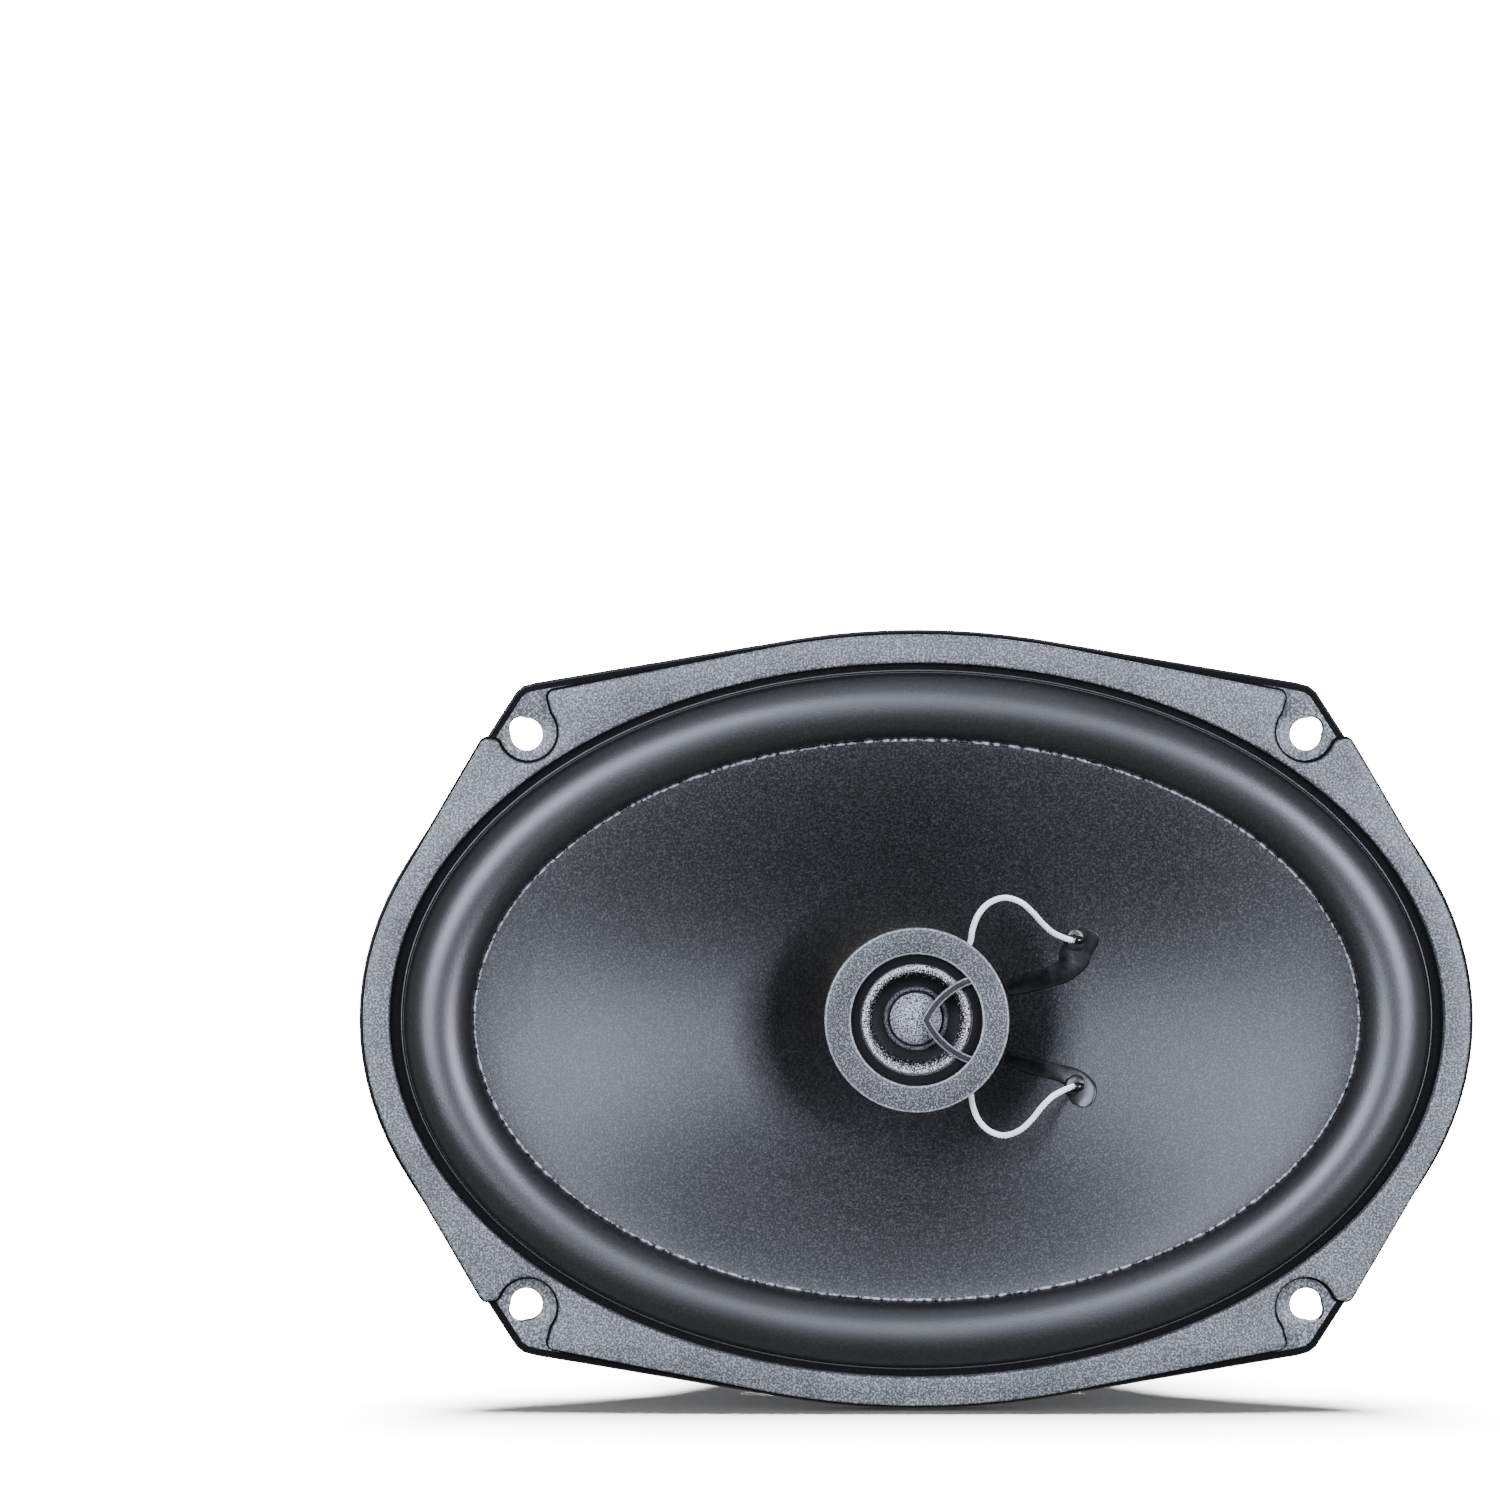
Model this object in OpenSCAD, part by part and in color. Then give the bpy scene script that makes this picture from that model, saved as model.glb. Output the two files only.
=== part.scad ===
// Two-way coaxial car speaker of the 6 x 9 inch class, as an assembly of its separate pieces.
//
// Every module is drawn on the speaker's own axis: +Z points out of the cone, Z = 0 is the plane
// that meets the car's panel, and X runs along the long side. upright() then lays the axis level,
// so the finished part faces -Y with its long side along X and its short side standing along Z.

/* [Flange] */
// Length of the oval frame
frame_length = 236; // [234:1:238]
// Height of the oval frame
frame_height = 165; // [163:1:167]
// Spacing of the mounting holes along the length
hole_span_x = 165.1; // [164.6:0.1:165.6]
// Spacing of the mounting holes along the height
hole_span_y = 120.65; // [120.2:0.05:121.1]
// Radius of a mounting hole
hole_r = 3.4; // [3:0.1:3.5]
// Thickness of the frame's sheet steel
sheet = 1.2; // [1:0.1:1.4]
// Depth of the lip that is turned back round the flange
lip_depth = 2.6; // [2.4:0.1:3]
// Thickness of the front trim ring above the surround's edge
ring_thickness = 2; // [1.5:0.1:4]

/* [Cone and surround] */
// Half length of the cone at its rim
cone_rim_x = 93.3; // [92:0.1:94]
// Half height of the cone at its rim
cone_rim_y = 59; // [58:0.1:60]
// Radius at which the round throat becomes the oval cone
throat_r = 31; // [28:0.5:33]
// Height of the surround's half roll
roll_height = 6.6; // [5:0.1:7.5]
// Thickness of the surround's rubber
rubber = 0.8; // [0.6:0.1:1]

/* [Motor] */
// Outer radius of the ferrite magnet
magnet_r = 47; // [45:0.5:50]
// Thickness of the ferrite magnet
magnet_thickness = 16; // [14:0.5:18]
// Outer radius of both steel plates
plate_r = 44.5; // [43:0.5:45]
// Inner radius of the voice coil's former
coil_r = 15.25; // [15.2:0.05:15.3]
// Height of the voice coil's winding
winding_height = 14; // [12:0.5:16]

/* [Tweeter] */
// Outer radius of the tweeter's bezel
bezel_r = 19.5; // [19:0.1:20]
// Radius of the bezel's opening
bezel_opening_r = 13.9; // [13.5:0.1:14.2]
// Height of the bezel's front face above the mounting plane
bezel_front = 5.5; // [5:0.1:7]

/* [Hidden] */

// Flange: half sizes, and the corner points of an ear measured from its hole's centre.
frame_a = frame_length / 2;
frame_b = frame_height / 2;
hole_at = [hole_span_x / 2, hole_span_y / 2];
hole_nose = 1.8;
hole_nose_r = 2.4;
ear_tip = [[2.2, 9], [0.6, 10.3], [-2, 11]];
ring_ear_tip = [[8.8, -0.7], [-4.4, 8.9]];
ring_edge_inset = 1.1;
outline_step = 3;
flange_back = lip_depth - sheet;
flange_front = lip_depth;
bowl_steps = 72;
bowl_phase = -7.5;
leg_count = 6;
leg_cells = 3;

// Bowl of the basket: half length, half height and Z of its outer surface at each station.
// The windows lie between the third station and the fourth.
bowl = [[108.6, 73.6, 2], [108, 73, -8], [105, 70.5, -12], [60.5, 58.5, -36], [55.6, 55.6, -40.9]];
bowl_inset = 0.9;
bowl_rise = 0.7;
window_strip = 2;
bowl_hole = [107.9, 72.9];
ledge_z = -40;
ledge_r = 56;
cup_r = 44.6;

// Motor: the basket's floor lies on the top plate, and the stack runs back from there.
floor_z = -52;
top_plate_back = floor_z - 5;
magnet_back = top_plate_back - magnet_thickness;
yoke_back = magnet_back - 6;
pole_r = coil_r - 0.35;
pole_front = floor_z + 1;
former_wall = 0.3;
former_r = coil_r + former_wall;
winding_r = former_r + 0.55;
gap_r = winding_r + 0.4;
winding_middle = floor_z - 2.5;
rivet_circle_r = 34;
rivet_r = 1.95;
screw_r = 2;

// Cone: a round throat from the neck to throat_r, then an oval flare to the rim.
rim_front = 4.4;
throat_front = -20;
neck_r = former_r + 0.05;
neck_front = throat_front - (throat_r - neck_r);
neck_back = neck_front - 3.6;
cone_wall = 0.9;
flare = 1.25;
flare_steps = 9;
bond_u = 0.95;
loft_steps = 72;

// Surround: foot ellipses of the half roll. Its flat edges lie between 2.6 and 3.4.
roll_in = [cone_rim_x + 0.3, cone_rim_y + 0.3];
roll_out = [roll_in[0] + 14.8, roll_in[1] + 14.1];
edge_back = flange_front;
edge_front = flange_front + rubber;
edge_out = [frame_a - 5.7, frame_b - 5.6];
ring_in = [frame_a - 6.6, frame_b - 7.1];
ring_front = edge_front + ring_thickness;

// Tweeter levels, from the bezel back.
clamp_front = bezel_front - 2;
clamp_back = clamp_front - 0.8;
seat = clamp_back - 0.25;
coil_top = -0.05;
housing_r = 17.3;
housing_back = -17;
housing_floor = 1.5;
post_top_r = 9;
post_base_r = 12.5;
guard_front = bezel_front - 0.1;
guard_back = guard_front - 1.3;

// Leads: the eyelet, the hole in the tweeter's housing, and each route's points.
eyelet_at = [35.6, 16];
eyelet_r = 1.25;
eyelet_flange_r = 2.2;
tweeter_lead_r = 0.6;
terminal_lead_r = 0.7;
lead_hole_z = -4;
lead_hole_angle = 53;
tweeter_route = [
    [9.2, 12.2, -4], [10.5, 13.8, -4], [11.8, 16, -3.8], [12.3, 18.8, -3.4], [13.6, 22, -3.4],
    [16, 24.4, -4], [19.3, 25.4, -5], [22.7, 24.4, -6.4], [25.4, 22.2, -8], [27.7, 19.7, -9.8],
    [30, 17.7, -11.2], [32.2, 16.6, -12.3], [34.2, 15.9, -13.5], [35.3, 15.8, -15.2]
];
terminal_route = [
    [36.5, 16.5, -17.6], [37.2, 16.8, -19.8], [38.6, 17, -22.2], [40.8, 17, -24.8], [44, 16.6, -27.4],
    [48.6, 16, -29.9], [53.4, 15.2, -31.8], [58.2, 14.4, -33.2], [62.2, 13.4, -34.8],
    [64.6, 12.2, -36.8], [65, 11, -38.8]
];

// Glue over the coil's own wires: [x, y, half width] from the eyelet's far side to the throat.
// It is laid by hand, so the two strips differ.
glue_upper = [
    [38.6, 18.3, 0.4], [38.2, 17.4, 2.4], [36.7, 14.9, 3.2], [35.2, 11.8, 3.2], [33.6, 9.6, 2.6],
    [30.9, 7.7, 2.3], [26.3, 5.9, 2], [21.5, 4.4, 1.7]
];
glue_lower = [
    [36.6, 20.3, 0.4], [36.6, 19.4, 2.2], [36.5, 16.9, 3.1], [35.4, 14.6, 2.6], [32.4, 13.4, 2],
    [27.1, 12.1, 1.8], [21.5, 10.8, 1.3]
];
glue_height = 0.9;

// Terminals, on a board under a tab of the basket.
tab_width = 9;
tab_end = 67;
board_front = ledge_z - sheet;
board_thickness = 1.6;
board_from = 57.5;
board_to = 70;
board_half = 14.5;
board_rivet_x = 62.5;
terminal_y = 9.6;
blade_thickness = 0.8;
blade_end = 80;
board_rivet_r = 1.6;
small_rivet_r = 1.1;

// ---------------------------------------------------------------- shared shapes

// Lays the speaker's axis level, facing -Y.
module upright() {
    rotate([90, 0, 0]) children();
}

// One copy in each of the four corners.
module four_corners() {
    for (sx = [-1, 1], sy = [-1, 1])
        translate([sx * hole_at[0], sy * hole_at[1], 0]) mirror([sx < 0 ? 1 : 0, 0, 0])
            mirror([0, sy < 0 ? 1 : 0, 0]) children();
}

// The parameter of the ellipse's point where a line from the outside point p touches it.
function touch(a, b, p, side) =
    let (u = p[0] / a, v = p[1] / b) atan2(v, u) + side * acos(1 / norm([u, v]));

// A quarter of the outline: the oval, a straight line to the ear, and a line back to the oval.
function quarter(a, b, tip) =
    let (
        first = touch(a, b, tip[0], -1),
        last = touch(a, b, tip[len(tip) - 1], 1)
    )
    concat(
        [for (t = [0:outline_step:first - 0.5]) [a * cos(t), b * sin(t)]],
        [[a * cos(first), b * sin(first)]],
        tip,
        [[a * cos(last), b * sin(last)]],
        [for (t = [90 - outline_step * floor((90 - last - 0.5) / outline_step):outline_step:90])
            [a * cos(t), b * sin(t)]]
    );

function turned(list) = [for (i = [len(list) - 1:-1:0]) list[i]];

module eared_outline(a, b, tip_from_hole) {
    one = quarter(a, b, [for (p = tip_from_hole) p + hole_at]);
    middle = [for (i = [1:len(one) - 1]) one[i]];
    top_left = [for (p = turned([for (i = [0:len(one) - 2]) one[i]])) [-p[0], p[1]]];
    bottom_left = [for (p = middle) [-p[0], -p[1]]];
    bottom_right = [for (p = turned([for (i = [1:len(one) - 2]) one[i]])) [p[0], -p[1]]];
    polygon(concat(one, top_left, bottom_left, bottom_right));
}

module oval(half, steps = 120) {
    polygon([for (j = [0:steps - 1]) [half[0] * cos(360 * j / steps), half[1] * sin(360 * j / steps)]]);
}

function cut_quad(p, q, r, s) = [[p, q, r], [p, r, s]];

// A closed ring whose section is the loop of [half length, half height, z] stations, clockwise.
module oval_ring(loop, steps = loft_steps) {
    m = len(loop);
    points = [for (k = [0:m - 1], j = [0:steps - 1])
        [loop[k][0] * cos(360 * j / steps), loop[k][1] * sin(360 * j / steps), loop[k][2]]];
    faces = [for (k = [0:m - 1], j = [0:steps - 1])
        let (n = (j + 1) % steps, below = (k + 1) % m)
        each cut_quad(k * steps + j, k * steps + n, below * steps + n, below * steps + j)];
    polyhedron(points = points, faces = faces);
}

// A closed body through rings of the same number of points, with an end cap on each side.
module skin(rings) {
    k = len(rings[0]);
    last = (len(rings) - 1) * k;
    sides = [for (i = [0:len(rings) - 2], j = [0:k - 1])
        let (n = (j + 1) % k)
        each cut_quad(i * k + j, i * k + n, (i + 1) * k + n, (i + 1) * k + j)];
    first_cap = [for (j = [1:k - 2]) [0, j + 1, j]];
    last_cap = [for (j = [1:k - 2]) [last, last + j, last + j + 1]];
    polyhedron(points = [for (ring = rings) each ring], faces = concat(sides, first_cap, last_cap));
}

function unit(v) = v / norm(v);

// A round wire along the route's own points.
module wire(route, r, sides = 8) {
    n = len(route);
    rings = [for (i = [0:n - 1])
        let (
            ahead = unit(route[min(i + 1, n - 1)] - route[max(i - 1, 0)]),
            across = unit(cross(ahead, [0.31, -0.57, 0.76])),
            up = cross(ahead, across)
        )
        [for (j = [0:sides - 1])
            route[i] + r * (across * cos(360 * j / sides) + up * sin(360 * j / sides))]];
    skin(rings);
}

// The same route on the lower side.
function lower(route) = [for (p = route) [p[0], -p[1], p[2]]];

// A turned body from a section of [radius, z] points.
module turned_body(section) {
    rotate_extrude() polygon(section);
}

module tube(outer, inner, from, to) {
    turned_body([[inner, from], [outer, from], [outer, to], [inner, to]]);
}

// ---------------------------------------------------------------- frame

// A round hole with a smaller nose that lets the screw sit further out along the corner's diagonal.
module hole_cutter(depth = 20) {
    rotate([0, 0, 45]) {
        translate([0, 0, -depth / 2]) cylinder(r = hole_r, h = depth);
        translate([hole_nose, 0, -depth / 2]) cylinder(r = hole_nose_r, h = depth);
    }
}

// Does this cell of the bowl belong to a window?
function in_window(i, j) = i == window_strip && (j % (bowl_steps / leg_count)) >= leg_cells;

// The bowl of sheet steel, with a window between each two legs.
module bowl_shell() {
    s = len(bowl);
    inner = [for (p = bowl) p + [-bowl_inset, -bowl_inset, bowl_rise]];
    stations = concat(bowl, [[inner[0][0], inner[0][1], bowl[0][2]]], [for (i = [1:s - 1]) inner[i]]);
    points = [for (p = stations, j = [0:bowl_steps - 1])
        let (t = bowl_phase + 360 * j / bowl_steps) [p[0] * cos(t), p[1] * sin(t), p[2]]];
    faces = [for (i = [0:s - 2], j = [0:bowl_steps - 1])
        if (!in_window(i, j))
            let (
                n = (j + 1) % bowl_steps,
                before = (j + bowl_steps - 1) % bowl_steps,
                a = i * bowl_steps + j,
                b = i * bowl_steps + n,
                c = b + bowl_steps,
                d = a + bowl_steps,
                in = s * bowl_steps
            )
            each concat(
                cut_quad(a, b, c, d),
                cut_quad(a + in, d + in, c + in, b + in),
                i == 0 || in_window(i - 1, j) ? cut_quad(a, a + in, b + in, b) : [],
                i == s - 2 || in_window(i + 1, j) ? cut_quad(d, c, c + in, d + in) : [],
                in_window(i, n) ? cut_quad(b, b + in, c + in, c) : [],
                in_window(i, before) ? cut_quad(a, d, d + in, a + in) : []
            )];
    polyhedron(points = points, faces = faces);
}

// The flat flange with its ears, holes and turned-back lip.
module flange() {
    difference() {
        linear_extrude(flange_front) eared_outline(frame_a, frame_b, ear_tip);
        translate([0, 0, -1]) linear_extrude(flange_back + 1)
            offset(delta = -sheet) eared_outline(frame_a, frame_b, ear_tip);
        translate([0, 0, -1]) linear_extrude(flange_front + 2) oval(bowl_hole, bowl_steps);
        four_corners() hole_cutter();
    }
}

// The round bottom of the basket: the spider's ledge, the cup and the floor on the top plate.
module basket_cup() {
    difference() {
        union() {
            turned_body([
                [20, floor_z], [cup_r, floor_z], [cup_r, ledge_z - sheet], [ledge_r, ledge_z - sheet],
                [ledge_r, ledge_z], [cup_r - sheet, ledge_z], [cup_r - sheet, floor_z + sheet],
                [20, floor_z + sheet]
            ]);
            translate([cup_r + 4, -tab_width / 2, ledge_z - sheet])
                cube([tab_end - cup_r - 4, tab_width, sheet]);
        }
        rivet_places() translate([0, 0, floor_z - 1]) cylinder(r = rivet_r + 0.05, h = 4);
        translate([board_rivet_x, 0, ledge_z - 5]) cylinder(r = board_rivet_r + 0.05, h = 10);
    }
}

module basket() {
    color([0.09, 0.09, 0.1]) union() {
        flange();
        bowl_shell();
        basket_cup();
    }
}

module rear_gasket() {
    color([0.16, 0.16, 0.17]) difference() {
        linear_extrude(flange_back) offset(delta = -sheet - 0.1)
            eared_outline(frame_a, frame_b, ear_tip);
        translate([0, 0, -1]) linear_extrude(flange_back + 2) oval([bowl[0][0] + 0.8, bowl[0][1] + 0.8]);
        four_corners() hole_cutter();
    }
}

// What the ring leaves free round a hole, drawn from the hole's centre.
module ear_clearance() {
    translate([-0.4, 0.5]) circle(r = 6.6, $fn = 64);
    polygon([[-5.9, 3.4], [-4.2, 9.5], [0, 18], [18, 6], [9.6, -0.9], [6.4, -1.2], [0, 0]]);
}

module ring_outline() {
    offset(r = 1.4, $fn = 40) offset(delta = -1.4) difference() {
        eared_outline(frame_a - ring_edge_inset, frame_b - ring_edge_inset, ring_ear_tip);
        four_corners() ear_clearance();
    }
}

module trim_ring() {
    color([0.33, 0.33, 0.36]) {
        difference() {
            linear_extrude(ring_front) ring_outline();
            translate([0, 0, -1]) linear_extrude(flange_front + 1) square(400, center = true);
            translate([0, 0, -1]) linear_extrude(edge_front + 1) oval([edge_out[0] + 0.2, edge_out[1] + 0.2]);
            translate([0, 0, -1]) linear_extrude(ring_front + 2) oval(ring_in);
        }
    }
}

// ---------------------------------------------------------------- moving assembly

function between(u) = roll_in + (roll_out - roll_in) * u;

// The half roll's surface, from its inner foot to its outer one.
function roll(inset, base, steps = 9) = [for (i = [0:steps])
    let (angle = 180 * i / steps, at = between(0.5 - (0.5 - inset) * cos(angle)))
    [at[0], at[1], base + roll_height * sin(angle)]];

module surround() {
    wall = rubber / (roll_out[0] - roll_in[0]);
    bond = cone_at(bond_u);
    top = concat([[bond[0], bond[1], edge_front]], roll(0, edge_front),
        [[edge_out[0], edge_out[1], edge_front]]);
    bottom = concat([[edge_out[0], edge_out[1], edge_back]], turned(roll(wall, edge_back)),
        [[bond[0], bond[1], edge_back]]);
    color([0.07, 0.07, 0.08]) oval_ring(concat(top, bottom));
}

// The flare's front surface at u, from 0 at the throat to 1 at the rim.
function cone_at(u) = [
    throat_r + (cone_rim_x - throat_r) * u,
    throat_r + (cone_rim_y - throat_r) * u,
    throat_front + (rim_front - throat_front) * (1 - pow(1 - u, flare))
];

// How far along the flare the point [x, y] lies.
function flare_u(x, y, low = 0, high = 1, left = 18) =
    let (middle = (low + high) / 2, at = cone_at(middle))
    left == 0 ? middle
    : norm([x / at[0], y / at[1]]) > 1 ? flare_u(x, y, middle, high, left - 1)
    : flare_u(x, y, low, middle, left - 1);

// The cone's front surface at [x, y].
function cone_z(x, y) =
    let (r = norm([x, y]))
    r < throat_r ? throat_front - (throat_r - r) : cone_at(flare_u(x, y))[2];

module cone() {
    front = concat(
        [[neck_r, neck_r, neck_front], [23, 23, cone_z(23, 0)]],
        [for (i = [0:flare_steps]) cone_at(bond_u * i / flare_steps)],
        [cone_at(1)]
    );
    bond = cone_at(bond_u) - [0.2, 0.15, 0];
    back = concat(
        [[cone_rim_x, cone_rim_y, edge_front], [bond[0], bond[1], edge_front],
            [bond[0], bond[1], bond[2] - cone_wall]],
        [for (i = [flare_steps - 1:-1:0]) cone_at(bond_u * i / flare_steps) - [0, 0, cone_wall]],
        [[neck_r + 0.8, neck_r + 0.8, neck_front - cone_wall + 0.8], [neck_r + 0.8, neck_r + 0.8, neck_back],
            [neck_r, neck_r, neck_back]]
    );
    color([0.13, 0.13, 0.14]) difference() {
        oval_ring(concat(front, back));
        for (side = [-1, 1]) eyelet_place(side) translate([0, 0, -3]) cylinder(r = eyelet_r + 0.05, h = 6);
    }
}

// The bead that is squeezed out round the cone's rim where it is bonded to the surround.
module cone_edge_glue() {
    foot = edge_front + 0.05;
    crest = rim_front + 0.1;
    section = [[0, foot], [0, crest], [0.15, crest], [0.25, crest - 0.3], [0.25, foot]];
    color([0.55, 0.55, 0.55])
        oval_ring([for (p = section) [cone_rim_x + p[0], cone_rim_y + p[0], p[1]]]);
}

// The corrugated damper, glued to the former and to the basket's ledge.
module spider() {
    cloth = 0.5;
    waves = 7;
    from = former_r + 2.4;
    to = cup_r - sheet - 0.3;
    collar = neck_back - 0.3;
    steps = waves * 8;
    wave = [for (i = [0:steps]) let (r = from + (to - from) * i / steps)
        [r, ledge_z + 1.2 * sin(360 * waves * i / steps)]];
    color([0.62, 0.5, 0.3]) turned_body(concat(
        [[former_r, ledge_z], [former_r, collar], [former_r + cloth, collar],
            [former_r + cloth, ledge_z + cloth]],
        [for (p = wave) p + [0, cloth]],
        [[ledge_r - 2, ledge_z + cloth], [ledge_r - 2, ledge_z]],
        turned(wave)
    ));
}

module voice_coil_former() {
    color([0.75, 0.72, 0.6]) tube(former_r, coil_r, winding_middle - winding_height / 2 - 1, neck_front + 3);
}

module voice_coil_winding() {
    color([0.72, 0.42, 0.2])
        tube(winding_r, former_r, winding_middle - winding_height / 2, winding_middle + winding_height / 2);
}

// ---------------------------------------------------------------- motor

module rivet_places() {
    for (i = [0:3]) rotate([0, 0, 45 + 90 * i]) translate([rivet_circle_r, 0, 0]) children();
}

module top_plate() {
    color([0.7, 0.71, 0.73]) difference() {
        tube(plate_r, gap_r, top_plate_back, floor_z);
        rivet_places() translate([0, 0, floor_z - 4]) cylinder(r = rivet_r + 0.05, h = 5);
    }
}

module magnet() {
    bevel = 1;
    color([0.2, 0.2, 0.21]) turned_body([
        [23, magnet_back], [magnet_r - bevel, magnet_back], [magnet_r, magnet_back + bevel],
        [magnet_r, top_plate_back - bevel], [magnet_r - bevel, top_plate_back], [23, top_plate_back]
    ]);
}

// The back plate and the pole are one forging.
module back_plate() {
    bevel = 1.2;
    bore = screw_r + 0.4;
    well_r = 6;
    well = yoke_back + 3;
    color([0.7, 0.71, 0.73]) turned_body([
        [well_r, yoke_back], [plate_r - bevel, yoke_back], [plate_r, yoke_back + bevel],
        [plate_r, magnet_back], [pole_r + 2.5, magnet_back], [pole_r, magnet_back + 1.5],
        [pole_r, pole_front - 0.6], [pole_r - 0.6, pole_front], [bore, pole_front], [bore, well],
        [well_r, well]
    ]);
}

// Four rivets hold the basket's floor to the top plate.
module plate_rivets() {
    color([0.75, 0.76, 0.78]) rivet_places() union() {
        translate([0, 0, floor_z - 3.8]) cylinder(r = rivet_r, h = 3.8 + sheet + 0.2);
        translate([0, 0, floor_z + sheet]) turned_body([[0, 0], [3.4, 0], [2.9, 0.8], [1.6, 1.3], [0, 1.4]]);
    }
}

// ---------------------------------------------------------------- tweeter

// The stem that carries the tweeter on the pole.
module tweeter_post() {
    bore = screw_r + 0.05;
    spigot = 2.9;
    color([0.12, 0.12, 0.13]) turned_body([
        [bore, pole_front], [post_base_r, pole_front], [post_base_r, pole_front + 2], [7.5, pole_front + 7],
        [5.8, pole_front + 14], [5.8, housing_back - 5], [post_top_r, housing_back - 1.5],
        [post_top_r, housing_back], [spigot, housing_back], [spigot, housing_back + housing_floor],
        [0, housing_back + housing_floor], [0, pole_front + 16], [bore, pole_front + 16]
    ]);
}

module post_washer() {
    color([0.6, 0.61, 0.63]) tube(5, screw_r + 0.2, yoke_back + 2.2, yoke_back + 3);
}

module post_screw() {
    head = 3.8;
    head_front = yoke_back + 2.2;
    head_back = yoke_back + 0.2;
    color([0.65, 0.66, 0.68]) difference() {
        turned_body([
            [0, head_back], [head - 0.8, head_back], [head, head_back + 0.8], [head, head_front],
            [screw_r, head_front], [screw_r, pole_front + 12], [0, pole_front + 12]
        ]);
        for (turn = [0, 90])
            rotate([0, 0, turn]) translate([-2, -0.4, head_back - 1]) cube([4, 0.8, 2.2]);
    }
}

// The plastic cup behind the bezel, with a hole for each lead.
module tweeter_housing() {
    rear = housing_back + housing_floor;
    color([0.1, 0.1, 0.11]) difference() {
        turned_body([
            [3, housing_back], [13.6, housing_back], [15.2, housing_back + 2], [housing_r, -2],
            [housing_r, seat], [11.6, seat], [11.6, -1.2], [9.6, -1.2], [9.6, -3], [15.6, -3],
            [13.4, rear], [3, rear]
        ]);
        for (side = [-1, 1]) rotate([0, 90, side * lead_hole_angle])
            translate([-lead_hole_z, 0, 12]) cylinder(r = tweeter_lead_r + 0.3, h = 8);
    }
}

// The upper bar of the guard: an arc from beside the dome's centre to the bezel's rim.
module guard_bar() {
    bend = 16.2;
    width = 1.5;
    intersection() {
        translate([16.6, -6.9, 0]) rotate([0, 0, 107]) rotate_extrude(angle = 52)
            translate([bend - width / 2, guard_back]) square([width, guard_front - guard_back]);
        translate([0, 0, -50]) cube([100, 100, 100]);
    }
}

module tweeter_bezel() {
    edge = 0.5;
    skirt_r = housing_r + 0.1;
    color([0.33, 0.33, 0.36]) union() {
        turned_body([
            [bezel_opening_r, clamp_front], [skirt_r, clamp_front], [skirt_r, 1], [bezel_r, 1],
            [bezel_r, bezel_front - edge], [bezel_r - edge, bezel_front], [bezel_opening_r, bezel_front]
        ]);
        difference() {
            union() {
                guard_bar();
                mirror([0, 1, 0]) guard_bar();
            }
            tube(40, bezel_opening_r + 0.8, -5, 10);
        }
    }
}

module tweeter_clamp_ring() {
    color([0.05, 0.05, 0.05]) tube(15.9, 11.9, clamp_back, clamp_front);
}

// Dome, groove and roll, pressed from one sheet and clamped at the rim.
dome_r = 6;
dome_top = 3.3;
function dome_line(lift) = concat(
    [for (i = [0:6]) let (a = 53 * i / 6) [7.5 * sin(a), dome_top - 7.5 * (1 - cos(a)) + lift]],
    [[dome_r + 0.35, 0.1 + lift], [dome_r + 0.9, 0.2 + lift]],
    [for (i = [1:6]) let (a = 15 * i) [6.9 + 4.1 * (1 - cos(a)), 0.2 + 2.7 * sin(a) + lift]],
    [[11.6, seat + lift], [15.6, seat + lift]]
);

module tweeter_diaphragm() {
    film = 0.25;
    top = dome_line(film);
    color([0.3, 0.3, 0.32]) turned_body(concat(top, turned([for (p = dome_line(0)) p])));
}

module tweeter_voice_coil() {
    inner = 6.2;
    color([0.72, 0.42, 0.2]) turned_body([
        [inner, -4], [inner + 0.2, -4], [inner + 0.2, -3.8], [inner + 0.45, -3.8], [inner + 0.45, -1.2],
        [inner + 0.2, -1.2], [inner + 0.2, coil_top], [inner, coil_top]
    ]);
}

module tweeter_pole_plate() {
    color([0.7, 0.71, 0.73]) translate([0, 0, -2.8]) cylinder(r = 5.8, h = 1.6);
}

module tweeter_felt() {
    color([0.25, 0.25, 0.25]) translate([0, 0, -1.2]) cylinder(r = 4.6, h = 1.6);
}

module tweeter_magnet() {
    color([0.75, 0.75, 0.78]) translate([0, 0, -5.8]) cylinder(r = 5.5, h = 3);
}

module tweeter_yoke() {
    color([0.7, 0.71, 0.73]) turned_body([
        [0, -7.6], [9, -7.6], [9.5, -7.1], [9.5, -1.2], [7, -1.2], [7, -5.8], [0, -5.8]
    ]);
}

// A bipolar capacitor that keeps the bass out of the tweeter.
module crossover_capacitor() {
    color([0.12, 0.14, 0.3]) translate([0, -5.5, -11.6]) rotate([-90, 0, 0]) turned_body([
        [0, 0], [3.1, 0], [3.1, 1.2], [2.85, 1.5], [2.85, 1.9], [3.1, 2.2], [3.1, 11], [0, 11]
    ]);
}

// ---------------------------------------------------------------- leads and terminals

// Stands children on the cone at an eyelet, square to its surface.
module eyelet_place(side) {
    step = 0.5;
    x = eyelet_at[0];
    y = eyelet_at[1];
    rise_x = (cone_z(x + step, y) - cone_z(x - step, y)) / (2 * step);
    rise_y = (cone_z(x, y + step) - cone_z(x, y - step)) / (2 * step);
    mirror([0, side < 0 ? 1 : 0, 0]) translate([x, y, cone_z(x, y)])
        rotate(a = atan(norm([rise_x, rise_y])), v = [rise_y, -rise_x, 0]) children();
}

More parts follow.
